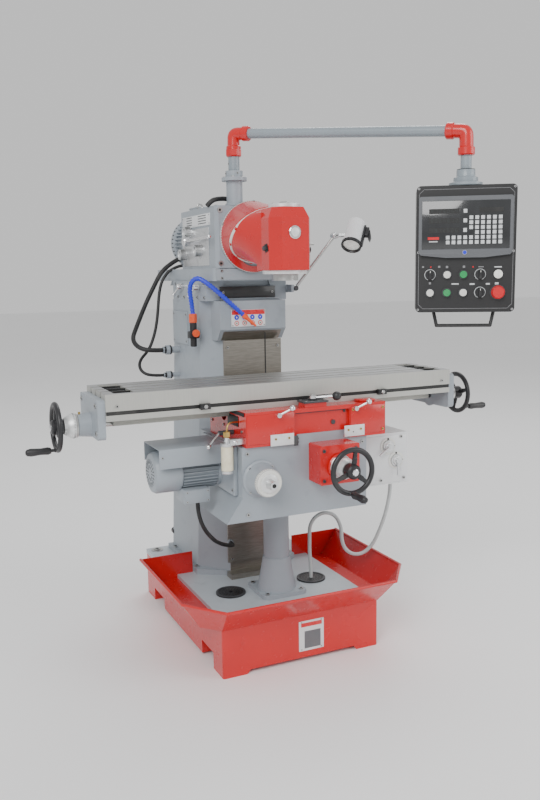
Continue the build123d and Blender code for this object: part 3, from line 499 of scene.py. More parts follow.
class Piece:
    """Collects parts of one piece, in millimetres, into one mesh."""

    def __init__(self, name):
        self.name = name
        self.whole = bmesh.new()
        self.looks = []

    def index(self, finish):
        if finish not in self.looks:
            self.looks.append(finish)
        return self.looks.index(finish)

    def join(self, part, place, finish):
        """Take in a closed part and empty it."""
        bmesh.ops.transform(part, matrix=place, verts=part.verts)
        bmesh.ops.recalc_face_normals(part, faces=part.faces)
        number = self.index(finish)
        for face in part.faces:
            face.material_index = number
        spare = bpy.data.meshes.new("spare")
        part.to_mesh(spare)
        part.free()
        self.whole.from_mesh(spare)
        bpy.data.meshes.remove(spare)

    def turned(self, place, outline, finish, sides=40):
        part = bmesh.new()
        rings = []
        for radius, height in outline:
            count = sides if radius > 0 else 1
            rings.append([part.verts.new((radius * cos(tau * i / sides),
                                          radius * sin(tau * i / sides), height))
                          for i in range(count)])
        if outline[0][0] > 0:
            rings.append(rings[0])
        for low, high in zip(rings, rings[1:]):
            for i in range(sides):
                j = (i + 1) % sides
                corners = [low[i % len(low)], low[j % len(low)],
                           high[j % len(high)], high[i % len(high)]]
                corners = list(dict.fromkeys(corners))
                if len(corners) > 2:
                    part.faces.new(corners)
        self.join(part, place, finish)

    def slab(self, place, size, finish, edge=1.0, steps=2):
        part = bmesh.new()
        bmesh.ops.create_cube(part, size=1.0)
        bmesh.ops.scale(part, vec=size, verts=part.verts)
        if edge:
            bmesh.ops.bevel(part, geom=part.edges[:], offset=edge, segments=steps,
                            profile=0.5, affect="EDGES")
        self.join(part, place, finish)

    def plate(self, place, outline, thick, finish, edge=0.0):
        part = bmesh.new()
        low = [part.verts.new((x, y, 0)) for x, y in outline]
        high = [part.verts.new((x, y, thick)) for x, y in outline]
        part.faces.new(low)
        part.faces.new(high)
        for i in range(len(outline)):
            j = (i + 1) % len(outline)
            part.faces.new((low[i], low[j], high[j], high[i]))
        if edge:
            bmesh.ops.bevel(part, geom=part.edges[:], offset=edge, segments=2,
                            profile=0.5, affect="EDGES")
        self.join(part, place, finish)

    def tube(self, points, radius, finish, smooth=True, sides=4, closed=False):
        mesh = plain_mesh(path_curve("tube", points, radius, smooth, sides, closed))
        part = bmesh.new()
        part.from_mesh(mesh)
        bpy.data.meshes.remove(mesh)
        bmesh.ops.remove_doubles(part, verts=part.verts, dist=0.001)
        self.join(part, Matrix.Identity(4), finish)

    def grown(self, kind, place, finish, base=None, **values):
        mesh = grow(kind, base or bpy.data.meshes.new("base"), finish, **values)
        part = bmesh.new()
        part.from_mesh(mesh)
        bpy.data.meshes.remove(mesh)
        self.join(part, place, finish)

    def bars(self, place, finish, radius, count, depth, width, height):
        """Equal bars round a circle."""
        self.grown("ring", place, finish, radius=radius, count=count, depth=depth,
                   width=width, height=height)

    def blocks(self, place, finish, columns, rows, across, up, depth, width, height):
        """Equal blocks on a grid."""
        self.grown("grid", place, finish, columns=columns, rows=rows, across=across, up=up,
                   depth=depth, width=width, height=height)

    def bolts(self, xs, ys, zs, way, radius, height=4.0, finish="steel", sides=18):
        """Screws at each mix of the places; one number stands for a single place."""
        xs, ys, zs = (item if isinstance(item, tuple) else (item,) for item in (xs, ys, zs))
        self.screws([(x, y, z, way) for x in xs for y in ys for z in zs], radius, height,
                    finish, sides)

    def screws(self, heads, radius, height=4.0, finish="steel", sides=18):
        """Heads at (x, y, z, direction), each with a black disc as painted shade of its socket."""
        # The second pass lays a small black hexagon on each head: painted shade of the socket
        # recess.
        for size, sink, tall, count, kind in ((radius, 0, height, sides, finish),
                                              (radius * 0.55, height / 2, 0.8, 6, "black_mark")):
            base = bpy.data.meshes.new("base")
            base.from_pydata([Vector((x, y, z)) + Vector(way).normalized() * sink
                              for x, y, z, way in heads], [], [])
            aims = base.attributes.new("aim", "FLOAT_VECTOR", "POINT")
            for item, (_, _, _, way) in zip(aims.data, heads):
                item.vector = way
            self.grown("screw", Matrix.Identity(4), kind, base, radius=size, sides=count,
                       height=tall)

    def done(self, body, slot, *replaced):
        """Make the object and ride it on its body; slot is not used."""
        bmesh.ops.scale(self.whole, vec=(MM, MM, MM), verts=self.whole.verts)
        for face in self.whole.faces:
            face.smooth = True
        for edge in self.whole.edges:
            edge.smooth = edge.calc_face_angle(0.0) < SHARP
        mesh = bpy.data.meshes.new(self.name)
        self.whole.to_mesh(mesh)
        self.whole.free()
        for finish in self.looks:
            mesh.materials.append(look(finish))
        piece = bpy.data.objects.new(self.name, mesh)
        bpy.context.scene.collection.objects.link(piece)
        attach(piece, body)
        if replaced:
            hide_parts(*replaced)
        return piece


def path_curve(name, points, radius, smooth=True, sides=4, closed=False):
    """Round curve through or near a list of points."""
    curve = bpy.data.curves.new(name, "CURVE")
    curve.dimensions = "3D"
    curve.bevel_depth = radius
    curve.bevel_resolution = sides
    curve.use_fill_caps = not closed
    curve.resolution_u = 8
    spline = curve.splines.new("NURBS" if smooth else "POLY")
    spline.points.add(len(points) - 1)
    for point, place in zip(spline.points, points):
        point.co = (*place, 1.0)
    spline.use_cyclic_u = closed
    if smooth:
        spline.order_u = 3
        spline.use_endpoint_u = not closed
    return curve


def plain_mesh(curve):
    """Mesh of a curve's surface."""
    spare = bpy.data.objects.new("spare", curve)
    bpy.context.scene.collection.objects.link(spare)
    ready = spare.evaluated_get(bpy.context.evaluated_depsgraph_get())
    mesh = bpy.data.meshes.new_from_object(ready)
    bpy.data.objects.remove(spare)
    return mesh


# ---- Places of the machine, in millimetres -------------------------------
DRIVE_Z = 1455.0
SPINDLE_Y = -70.0
MAST = (-50, 235)
HANGER = (465, -418)
VALVE = (-190, 322)
SIGHT = (-4, -154, 1454)
RIM_RADIUS = 71
PENDANT = at(*HANGER, 1389.5) @ Matrix.Rotation(radians(-33), 4, "Z")
PANEL = PENDANT @ at(0, -45, 0) @ Matrix.Rotation(radians(90), 4, "X")
JOINT = aimed(0, 88, DRIVE_Z, (0, -1, -1))
LEFT = (-1, 0, 0)
RIGHT = (1, 0, 0)
FRONT = (0, -1, 0)
UP = (0, 0, 1)

BUTTONS = ((-56, -78), (-6, -78), (-108, -134), (-56, -134), (-6, -134))
KNOBS = ((-108, -78), (46, -78), (46, -134))
STOP = (100, -134)
SIGNAL = (100, -78)
LABELS = ((-130, -53, 6, 5, "grey_mark"), (-106, -54, 4, 5, "red_plastic"),
          (-80, -53, 7, 6, "grey_mark"), (-56, -54, 7, 7, "grey_mark"),
          (-4, -54, 7, 7, "grey_mark"), (24, -55, 4, 5, "red_plastic"),
          (48, -55, 16, 3, "grey_mark"),
          (100, -56, 22, 3.6, "key_plastic"), (-108, -104, 7, 7, "grey_mark"),
          (-30, -107, 22, 4, "key_plastic"), (22, -108, 15, 5, "key_plastic"),
          (70, -108, 12, 5, "key_plastic"), (97, -107, 11, 7, "key_plastic"))


def wheel_place(x, y, z, out, grip):
    """Place of a handwheel: its face looks out, its grip lies along grip."""
    axis = Vector(out).normalized()
    side = (Vector(grip) - axis * axis.dot(Vector(grip))).normalized()
    turn = Matrix((side, axis.cross(side), axis)).transposed().to_4x4()
    return Matrix.Translation((x, y, z)) @ turn


class Step(bpy.types.Operator):
    """Common ground of every step."""
    bl_options = {"REGISTER", "INTERNAL"}

    def execute(self, context):
        self.build(context)
        return {"FINISHED"}


class MILL_OT_frame(Step):
    """Give every piece of the frame its finish"""
    bl_idname = "mill.frame"
    bl_label = "Frame finishes"

    special = {"column": "way_paint", "base_casting": "plate_paint",
               "readout_panel": "grey_plastic", "pendant_arm": "red_paint",
               "table_end_brackets": "grey_paint"}

    def build(self, context):
        rows = frame["record"]["subparts"]
        if len(rows) != len(frame["nodes"]):
            raise RuntimeError("the record and the frame list different pieces")
        for row in rows:
            node = frame["nodes"][row["node"]]
            finish = look(self.special.get(row["node"], row["material_slot"]))
            if not node.material_slots:
                node.data.materials.append(finish)
            for holder in node.material_slots:
                holder.material = finish


class MILL_OT_cords(Step):
    """Make the two ram cables, the drain hose and the motor lead"""
    bl_idname = "mill.cords"
    bl_label = "Hoses and cables"

    routes = {
        "ram_conduit": (18, 657, "black_rubber", "medium", [
            (-112, 598, 1395), (-112, 648, 1395), (-134, 700, 1378), (-177, 732, 1340),
            (-208, 744, 1278), (-242, 736, 1220), (-274, 714, 1166), (-304, 686, 1118),
            (-335, 646, 1074), (-325, 605, 1043), (-286, 575, 1030), (-231, 575, 1030)]),
        "ram_cable": (12, 654, "black_rubber", "medium", [
            (-112, 598, 1362), (-112, 634, 1362), (-130, 664, 1358), (-162, 684, 1340),
            (-190, 690, 1302), (-206, 682, 1250), (-216, 668, 1192), (-226, 660, 1134),
            (-242, 654, 1078), (-268, 644, 1026), (-312, 631, 989), (-321, 602, 954),
            (-292, 575, 930), (-231, 575, 930)]),
        "drain_hose": (14, 855, "grey_hose", "limp", [
            (440, -38, 565), (440, -38, 527), (434, -36, 478), (422, -30, 420),
            (404, -20, 362), (385, -9, 312), (354, 3, 277), (318, 13, 271),
            (286, 22, 289), (270, 30, 328), (272, 33, 378), (253, 40, 426),
            (214, 49, 444), (174, 56, 431), (153, 64, 394), (156, 70, 345),
            (157, 73, 300), (160, 74, 262), (163, 74, 228), (163, 74, 190)]),
        "motor_lead": (14, 443, "black_rubber", "limp", [
            (-310, -12, 572), (-310, -12, 540), (-303, -14, 500), (-286, -12, 462),
            (-262, 0, 432), (-240, 26, 410), (-220, 58, 392), (-198, 90, 374),
            (-172, 118, 356), (-143, 138, 342), (-120, 154, 333), (-108, 179, 328),
            (-108, 207, 328)]),
    }

    def build(self, context):
        for name, (thick, length, finish, stiffness, route) in self.routes.items():
            places = [Vector(place) * MM for place in route]
            curve = path_curve(name + "_line", places, thick * MM / 2, sides=5)
            curve.materials.append(look(finish))
            cord = bpy.data.objects.new(name + "_line", curve)
            context.scene.collection.objects.link(cord)
            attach(cord, "machine_base")
            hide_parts(name)


class MILL_OT_arm(Step):
    """Make the pendant arm with its elbows, nuts and mast fittings"""
    bl_idname = "mill.arm"
    bl_label = "Pendant arm"

    def build(self, context):
        near = Vector((*MAST, 1816))
        far = Vector((*HANGER, 1753))
        run = (far - near).normalized()
        arm = Piece("pendant_arm_tube")
        arm.tube([near + run * 40, far - run * 40], 17, "tube_paint", smooth=False, sides=8)
        for corner, along, drop in ((near, run, 56), (far, -run, 62)):
            down = corner - Vector((0, 0, drop))
            arm.tube([down, corner - Vector((0, 0, 26)), corner - Vector((0, 0, 2)) + along * 2,
                      corner + along * 26, corner + along * 62], 22, "red_paint", sides=8)
            arm.turned(aimed(*(corner + along * 48), along), drum(26, -9, 16, 3), "red_paint", 24)
            arm.turned(aimed(*down, UP), drum(26.5, -12, 14, 3), "red_paint", 24)
        arm.turned(at(*MAST, 0), drum(29, 1736, 1764, 4), "red_paint", 8)
        arm.turned(at(*MAST, 0), drum(20, 1687.6, 1740, 1.5), "tube_paint")
        arm.turned(at(*HANGER, 0), drum(17, 1637.2, 1700, 1), "tube_paint")
        arm.screws([(-50 - 20, 235, 1712, LEFT)], 3.4, 3)
        arm.done("pendant_arm", "red_paint", "pendant_arm")
        mast = Piece("mast_fittings")
        mast.turned(at(*MAST, 0), [(29.3, 1566), (35, 1566), (35, 1570), (31, 1574), (29.3, 1574)],
                    "grey_paint")
        mast.screws([(-50 + 38 * cos(tau * i / 6), 235 + 38 * sin(tau * i / 6), 1665, UP)
                     for i in range(6)], 4.6, 4)
        mast.screws([(-50 - 31, 235, 1678, LEFT), (-50, 204, 1678, FRONT)], 3.6, 4)
        mast.tube([(-50, 262, 1590), (-70, 268, 1594), (-104, 262, 1592), (-134, 250, 1584),
                   (-146, 262, 1566)], 8.5, "black_rubber", sides=5)
        mast.done("ram", "grey_paint")


class MILL_OT_pendant(Step):
    """Make the readout, keys, labels and trim of the control pendant"""
    bl_idname = "mill.pendant"
    bl_label = "Control pendant"

    def border(self, piece, wide, tall, cut, centre):
        """Thin line with cut corners printed round a panel."""
        corners = [(-wide + cut, -tall), (wide - cut, -tall), (wide, -tall + cut),
                   (wide, tall - cut), (wide - cut, tall), (-wide + cut, tall),
                   (-wide, tall - cut), (-wide, -tall + cut)]
        for first, second in zip(corners, corners[1:] + corners[:1]):
            start, end = Vector(first), Vector(second)
            middle = (start + end) / 2
            turn = Matrix.Rotation(-Vector((1, 0)).angle_signed(end - start), 4, "Z")
            piece.slab(PANEL @ at(middle.x, middle.y + centre, 0.3) @ turn,
                       ((end - start).length + 1, 1.1, 0.8), "grey_mark", 0)

    def build(self, context):
        trim = Piece("pendant_trim")
        self.border(trim, 144, 184, 14, 0)
        trim.screws([tuple(PANEL @ Vector((x, z, 0.5))) + ((PANEL.to_3x3() @ Vector(UP)),)
                     for x in (-145, 145) for z in (-187, -8, 187)], 3.6, 2.4, "chrome")
        for x, z in BUTTONS:
            ring = [(11.4, 0.2), (15, 0.2), (15, 1.6), (14, 2.8), (11.4, 2.8)]
            trim.turned(PANEL @ at(x, z, 0), ring, "dark_grey", 32)
        for x, z in KNOBS:
            ring = [(15.6, 0.2), (17.4, 0.2), (17.4, 1.2), (15.6, 1.2)]
            trim.turned(PANEL @ at(x, z, 0), ring, "key_plastic", 40)
            trim.slab(PANEL @ at(x, z - 16.6, 0.8), (11, 4, 1.8), "black_paint", 0)
            trim.slab(PANEL @ at(x, z + 9, 20.3), (1.6, 6, 0.8), "white_plastic", 0)
        trim.turned(PANEL @ at(*STOP, 0), [(11, 0.2), (24, 0.2), (24, 1.2), (11, 1.2)],
                    "dark_grey", 40)
        for x, z, wide, tall, mark in LABELS:
            trim.slab(PANEL @ at(x, z, 0.3), (wide, tall, 0.7), mark, 0)
        trim.turned(PANEL @ at(*SIGNAL, 0), [(0, 7), (13.4, 7), (13.4, 9), (9, 12), (0, 13)],
                    "lens_glass", 32)
        trim.turned(PENDANT, [(0, 196), (50, 196), (52, 198), (52, 205), (40, 208), (38, 210),
                              (38, 221), (30, 224), (29, 226), (29, 244), (26, 247), (0, 247)],
                    "tube_paint", 48)
        trim.screws([tuple(PENDANT @ Vector((44 * sx, 36 * sy, 206))) + (Vector(UP),)
                     for sx in (-0.7, 0.7) for sy in (-0.7, 0.7)], 4, 3)
        trim.done("pendant", "black_paint")

        readout = Piece("readout_face")
        face = PANEL @ at(-2, 74, 0)
        readout.slab(face @ at(0, 0, 15), (266, 146, 1.4), "screen_glass", 0.4)
        for row in range(3):
            z = 42 - 29 * row
            readout.slab(face @ at(-66, z, 15.6), (92, 15, 0.8), "black_mark", 0)
            for digit in range(7):
                self.number(readout, face @ at(-103 + 12.4 * digit, z, 16.2),
                            (8, 1, 2, 5, 0, 6, 4)[(digit + 3 * row) % 7])
            readout.slab(face @ at(-2, z, 16.2), (11, 12, 2.2), "key_plastic", 0.8)
        readout.slab(face @ at(76, 44, 15.6), (72, 14, 0.8), "black_mark", 0)
        readout.blocks(face @ at(60, 7, 16.2), "key_plastic", 6, 3, 88.0, 30.0, 2.4, 11.0, 11.0)
        readout.blocks(face @ at(69, -23, 16.2), "key_plastic", 5, 1, 70.4, 0.0, 2.4, 11.0, 11.0)
        readout.blocks(face @ at(25, -45.5, 16.2), "key_plastic", 10, 2, 158.4, 15.0, 2.4, 11.0,
                       11.0)
        readout.slab(face @ at(-98, -40, 15.8), (34, 8, 0.8), "red_plastic", 0)
        readout.slab(face @ at(-98, -50, 15.8), (26, 3, 0.8), "key_plastic", 0)
        readout.turned(face @ at(-2, -84, 14.6), [(0, 0.2), (6, 0.2), (6, 1.2), (0, 1.6)],
                       "blue_plastic", 28)
        readout.turned(face @ at(-2, -84, 14.6), [(6, 0.2), (7.2, 0.2), (7.2, 1.4), (6, 1.4)],
                       "chrome", 28)
        outline = [(-143, -84), (-136, -92), (-60, -100), (60, -100), (136, -92), (142, -84)]
        readout.plate(face @ at(0, 0, 0.3), outline, 14.5, "grey_plastic", 1)
        readout.done("pendant", "grey_plastic")

    def number(self, piece, place, value):
        """Seven-part figure on the display."""
        lit = {0: "abcdef", 1: "bc", 2: "abged", 4: "fgbc", 5: "afgcd", 6: "afgedc",
               8: "abcdefg"}[value]
        bars = {"a": (0, 4.6, 4.6, 0.9), "g": (0, 0, 4.6, 0.9), "d": (0, -4.6, 4.6, 0.9),
                "f": (-2.8, 2.3, 0.9, 3.8), "b": (2.8, 2.3, 0.9, 3.8),
                "e": (-2.8, -2.3, 0.9, 3.8), "c": (2.8, -2.3, 0.9, 3.8)}
        for name in lit:
            x, y, wide, tall = bars[name]
            piece.slab(place @ at(x, y, 0), (wide, tall, 0.3), "digit_glow", 0)


class MILL_OT_drive(Step):
    """Make the ribbed main motor"""
    bl_idname = "mill.drive"
    bl_label = "Main motor"

    def build(self, context):
        ribs = context.scene.mill_sizes.motor_ribs
        motor = Piece("main_motor_ribbed")
        axle = aimed(0, 580, DRIVE_Z, (0, 1, 0))
        motor.turned(axle, [(0, 0.4), (101, 0.4), (104, 4), (104, 18), (92, 24), (92, 188),
                            (104, 192), (104, 196), (0, 196)], "grey_paint", 64)
        motor.bars(axle @ at(0, 0, 106), "grey_paint", 96.0, ribs, 16.0, 2.6, 166.0)
        motor.turned(axle, [(0, 196), (105, 196), (106, 200), (106, 232), (98, 246),
                            (84, 249.5), (0, 249.5)], "grey_paint", 64)
        # Black bars on the fan cowl's end and round its side: painted shade of the vent slots.
        motor.bars(axle @ at(0, 0, 249.4), "black_mark", 62.0, 28, 30.0, 4.2, 0.9)
        motor.bars(axle @ at(0, 0, 249.4), "black_mark", 30.0, 14, 14.0, 4.2, 0.9)
        motor.bars(axle @ at(0, 0, 212), "black_mark", 106.2, 40, 0.8, 5.0, 18.0)
        motor.slab(at(0, 690, 1572), (92, 100, 44), "grey_paint", 4)
        motor.slab(at(0, 690, 1592), (94, 102, 6), "grey_paint", 2)
        motor.bolts((-38, 38), (648, 732), 1596, UP, 4.2, 2.4)
        motor.turned(aimed(-46, 700, 1572, LEFT), drum(11, 0, 16, 1.5), "black_plastic", 24)
        motor.slab(at(0, 695, 1354.5), (140, 150, 15), "grey_paint", 2)
        motor.bolts((-58, 58), (632, 758), 1364, UP, 7, 5)
        motor.screws([(96 * cos(a), 605, DRIVE_Z + 96 * sin(a), (0, 1, 0))
                      for a in [tau * (i + 0.5) / 4 for i in range(4)]], 6, 5)
        motor.done("ram", "grey_paint", "main_motor")


class MILL_OT_feed_drive(Step):
    """Make the feed motor with its ribs, cowl, guard and terminal box"""
    bl_idname = "mill.feed_drive"
    bl_label = "Feed motor"

    def build(self, context):
        ribs = context.scene.mill_sizes.feed_ribs
        motor = Piece("feed_motor_ribbed")
        axle = aimed(-214, 20, 675, LEFT)
        motor.slab(at(-221, 4, 687), (13.6, 292, 164), "grey_paint", 2)
        motor.turned(axle, [(0, 13), (66, 13), (66, 24), (60, 28), (58, 150), (66, 153), (66, 158),
                            (0, 158)], "grey_paint", 56)
        motor.bars(axle @ at(0, 0, 90), "grey_paint", 62.0, ribs, 12.0, 2.4, 122.0)
        motor.turned(axle, [(0, 156), (69, 156), (70, 159), (70, 234), (64, 244), (52, 248),
                            (0, 248)], "grey_paint", 56)
        # Black bars on the fan cowl's end: painted shade of the vent slots.
        motor.bars(axle @ at(0, 0, 247.9), "black_mark", 40.0, 22, 16.0, 3.4, 0.9)
        motor.bars(axle @ at(0, 0, 247.9), "black_mark", 22.0, 12, 10.0, 3.4, 0.9)
        motor.slab(at(-326, -10, 598), (90, 98, 48), "grey_paint", 4)
        motor.slab(at(-326, -60.4, 598), (86, 3, 44), "grey_paint", 1)
        motor.bolts((-362, -290), -62, (582, 614), FRONT, 3.4, 2)
        motor.turned(at(-310, -12, 0), drum(11, 572.4, 577, 1), "black_plastic", 24)
        motor.slab(at(-343, 12, 767.5), (228, 170, 2.8), "grey_paint", 0.8)
        motor.slab(at(-343, -73.5, 736.5), (228, 2.8, 64), "grey_paint", 0.8)
        motor.slab(at(-343, 97.5, 736.5), (228, 2.8, 64), "grey_paint", 0.8)
        motor.bolts((-446, -240), -75, 742, FRONT, 4, 2.4)
        motor.bolts(-228, (-128, 136), (622, 752), LEFT, 6, 4)
        motor.turned(aimed(-300, 20, 748, UP), [(4, 0), (9, 0), (9, 8), (4, 8)], "steel", 20)
        motor.done("knee", "grey_paint", "feed_motor")


class MILL_OT_wheels(Step):
    """Make the three handwheels with their dials and grips"""
    bl_idname = "mill.wheels"
    bl_label = "Handwheels"

    def wheel(self, piece, place, reach, dial, marks):
        """Three-spoke wheel, chrome hub, graduated dial and turning grip."""
        rim = [(RIM_RADIUS + 9 * cos(tau * i / 16), 8 * sin(tau * i / 16)) for i in range(16)]
        piece.turned(place, rim, "black_plastic", 72)
        piece.turned(place, [(0, -24), (22, -24), (24, -21), (24, 10), (20, 15), (12, 17),
                             (0, 17)], "black_plastic", 40)
        piece.turned(place, [(0, 16.5), (11, 16.5), (11, 19), (8, 21), (0, 21)], "chrome", 32)
        for turn in range(3):
            spoke = place @ Matrix.Rotation(radians(60 + 120 * turn), 4, "Z")
            for first, second, wide, z in ((20, 44, 17, 1.5), (40, 68, 14, 0.5)):
                piece.slab(spoke @ at((first + second) / 2, 0, z), (second - first + 4, wide, 9),
                           "black_plastic", 3, 3)
        grip = [(0, 6), (7, 6), (7, 9), (5, 11), (5, 20), (9, 21), (12, 30), (10.4, 52),
                (12.6, 82), (10, 94), (5, 98), (0, 98)]
        piece.turned(place @ at(RIM_RADIUS, 0, 0), grip, "black_plastic", 32)
        piece.turned(place, [(0, -23), (26, -23), (28, -25), (dial, -47), (dial, -57), (0, -58)],
                     "satin_dial", 56)
        piece.bars(place @ at(0, 0, -52), "black_mark", dial + 0.1, marks, 0.7, 0.7, 6.0)
        piece.turned(place, [(0, -57), (dial * 0.72, -57), (dial * 0.72, -64), (0, -64)],
                     "aluminium", 40)
        piece.turned(place, [(0, -60), (12, -60), (12, -reach), (0, -reach)], "steel", 24)

    def build(self, context):
        marks = context.scene.mill_sizes.dial_marks
        cross = Piece("cross_handwheel_turned")
        self.wheel(cross, wheel_place(97, -350, 695, FRONT, (-0.15, 0, -1)), 149, 36, marks)
        cross.done("cross_handwheel", "black_plastic", "cross_handwheel")
        ends = Piece("table_handwheels_turned")
        self.wheel(ends, wheel_place(-763, 0, 860, LEFT, (0, -0.1, -1)), 92, 39, marks)
        self.wheel(ends, wheel_place(763, 0, 860, RIGHT, (0, -0.7, -0.7)), 92, 39, marks)
        ends.done("table_screw", "black_plastic", "table_handwheels")
        dial = Piece("elevation_dial")
        place = aimed(-152, -239, 664, FRONT)
        dial.turned(place, [(30, -0.6), (44.6, -0.6), (45.4, 2), (45.4, 12), (42, 15.8),
                            (30, 15.8)], "white_plastic", 56)
        dial.bars(place @ at(0, 0, 7), "black_mark", 45.5, 40, 0.7, 0.8, 6.0)
        dial.turned(place, [(0, 14.6), (31, 14.6), (31, 19), (26, 22), (0, 22)], "satin_dial", 48)
        dial.turned(place, [(0, 21), (17, 21), (15, 40), (13, 52), (0, 52)], "aluminium", 32)
        dial.turned(place, [(0, 51), (7, 51), (7, 52.6), (0, 52.6)], "black_mark", 24)
        dial.done("elevation_shaft", "white_plastic")


class MILL_OT_lamp(Step):
    """Make the work lamp head and dress its arm"""
    bl_idname = "mill.lamp"
    bl_label = "Work lamp"

    def build(self, context):
        lamp = Piece("lamp_head_turned")
        place = wheel_place(374, 116, 1460, (-0.47, -0.435, -0.765), (0.908, -0.418, 0))
        lamp.turned(place, [(0, -60), (29, -60), (33, -57), (34, -52), (34, 44), (0, 44)],
                    "white_paint", 48)
        lamp.turned(place, [(36.6, 42), (37, 44), (37, 55), (34, 56), (31, 52), (30, 43),
                            (33, 42)], "black_plastic", 48)
        lamp.turned(place, [(0, 46), (30.5, 46), (26, 49), (0, 51)], "lens_glass", 40)
        lamp.bars(place @ at(0, 0, 49), "black_plastic", 37.0, 16, 2.0, 4.0, 11.0)
        lamp.bars(place @ at(0, 0, -60), "black_mark", 18.0, 10, 12.0, 3.0, 0.8)
        side = place @ Matrix.Rotation(radians(10), 4, "Z") @ at(37, 0, 2)
        lamp.slab(side, (6, 24, 88), "black_plastic", 1.6)
        lamp.slab(side @ at(9, 0, -18), (14, 18, 40), "black_plastic", 3)
        lamp.plate(side @ at(16, 0, -12) @ Matrix.Rotation(radians(90), 4, "X"),
                   [(-6, -24), (3, -18), (10, 6), (8, 26), (-2, 12)], 20, "black_plastic", 1)
        lamp.turned(aimed(350, 129.5, 1459.5, (49, -27, 1)), drum(7, -28, 2, 1), "aluminium", 24)
        lamp.done("lamp_head", "white_paint", "lamp_head")
        joint = Piece("lamp_joints")
        joint.turned(aimed(312, 150, 1459, FRONT), drum(13, -14, 14, 2), "aluminium", 28)
        joint.turned(aimed(184, 226, 1268, FRONT), drum(9, -14, 14, 2), "dark_grey", 28)
        joint.screws([(312, 134, 1459, FRONT)], 5, 4)
        joint.done("lamp_arm", "steel")


class MILL_OT_coolant(Step):
    """Make the jointed coolant hose and its tap"""
    bl_idname = "mill.coolant"
    bl_label = "Coolant line"

    def build(self, context):
        route = [(-190, 322, 1182), (-196, 316, 1222), (-206, 306, 1262), (-206, 290, 1296),
                 (-190, 268, 1314), (-168, 240, 1298), (-136, 208, 1264), (-96, 182, 1220),
                 (-52, 162, 1176)]
        line = Piece("coolant_hose_beads")
        line.grown("bead", Matrix.Identity(4), "blue_plastic",
                   plain_mesh(path_curve("spare", route, 0)), spacing=11.5, radius=9.2)
        tip = Vector((-52, 162, 1176))
        way = (tip - Vector((-96, 182, 1220))).normalized()
        line.turned(aimed(*(tip - way * 4), way), [(0, 0), (9.4, 0), (9.6, 4), (9.6, 16), (7, 18),
                                                   (4.4, 52), (3.2, 60), (0, 60)],
                    "orange_plastic", 28)
        line.turned(at(*VALVE, 0), drum(12, 1060, 1100, 2), "black_plastic", 28)
        line.slab(at(*VALVE, 1104), (38, 32, 26), "black_plastic", 3)
        line.turned(at(*VALVE, 0), drum(13, 1116, 1150, 1.5), "black_plastic", 24)
        line.turned(at(*VALVE, 0), drum(15.6, 1148, 1181.5, 2.5), "orange_plastic", 8)
        line.slab(at(-172, 342, 1111), (44, 8, 20), "steel", 1)
        line.slab(at(-163, 355, 1111), (4, 48, 28), "grey_paint", 1)
        line.bolts(-165.5, (340, 370), 1111, LEFT, 4, 3)
        line.turned(aimed(-190, 306, 1111, FRONT), [(0, 0), (8, 0), (8, 10), (14, 12), (14, 17),
                                                    (0, 18)], "orange_plastic", 12)
        line.done("machine_base", "blue_plastic", "coolant_line")


class MILL_OT_gearbox(Step):
    """Make the label plates, cover, bolts and knob pointers of the ram and gearbox"""
    bl_idname = "mill.gearbox"
    bl_label = "Ram and gearbox fittings"

    def build(self, context):
        box = Piece("gearbox_fittings")
        box.slab(at(-141, 400, 1521), (2, 300, 42), "white_paint", 0.6)
        box.slab(at(-141, 408, 1424), (2, 286, 136), "aluminium", 0.6)
        for y, z in ((470, 1483), (530, 1401), (356, 1411)):
            box.bars(aimed(-142, y, z, LEFT), "black_mark", 27.0, 12, 4.0, 1.0, 0.6)
        for row in range(4):
            box.slab(at(-142.2, 330, 1536 - 9 * row), (0.6, 84, 3), "dark_grey", 0)
            box.slab(at(-142.2, 470, 1536 - 9 * row), (0.6, 60, 3), "dark_grey", 0)
        box.bolts(-142, (256, 544), (1506, 1536), LEFT, 2.6, 1.6)
        box.slab(at(0, 410, 1566), (236, 300, 5), "grey_paint", 2)
        box.bolts((-108, 108), (270, 410, 550), 1569, UP, 6, 4)
        box.bolts((-124, 124), 195, (1362, 1548), FRONT, 9, 5)
        box.turned(aimed(0, 196, DRIVE_Z, FRONT), [(124, 1), (126.5, 1), (126.5, 9.6), (124, 9.6)],
                   "satin_dial", 90)
        box.bars(aimed(0, 191, DRIVE_Z, FRONT), "black_mark", 126.6, 180, 0.6, 0.8, 5.0)
        box.turned(at(60, 480, 0), [(0, 1568), (12, 1568), (12, 1576), (8, 1580), (0, 1580)],
                   "black_plastic", 8)
        for x in (-72, 72):
            ring = [(10 + 3.4 * cos(tau * i / 10), 3.4 * sin(tau * i / 10)) for i in range(10)]
            box.turned(aimed(x, 540, 1586, FRONT), ring, "steel", 28)
            box.turned(at(x, 540, 0), drum(9, 1566, 1576, 1.5), "steel", 24)
        box.slab(at(0, 200.6, 1323), (278, 3, 40), "grey_paint", 1)
        box.bolts((-120, 120), 199, (1310, 1336), FRONT, 5, 4)
        box.slab(at(0, 881.6, 1323), (278, 3, 40), "grey_paint", 1)
        box.bolts((-110, 0, 110), 884, 1323, (0, 1, 0), 5, 4)
        box.done("ram", "grey_paint")
        block = Piece("saddle_block_fittings")
        block.slab(at(0, 248, 1258), (222, 3, 42), "black_paint", 1)
        block.bolts((-98, 98), 246, 1258, FRONT, 4, 3)
        block.bolts(-161, (276, 350, 424, 498, 572), 1240, LEFT, 6, 5)
        block.bolts(161, (350, 424, 498, 572), 1240, RIGHT, 6, 5)
        block.bolts(-161, (280, 420, 600), 1290, LEFT, 4.5, 4)
        block.slab(at(0, 254, 1234), (262, 3, 8), "grey_paint", 1)
        block.done("machine_base", "grey_paint")


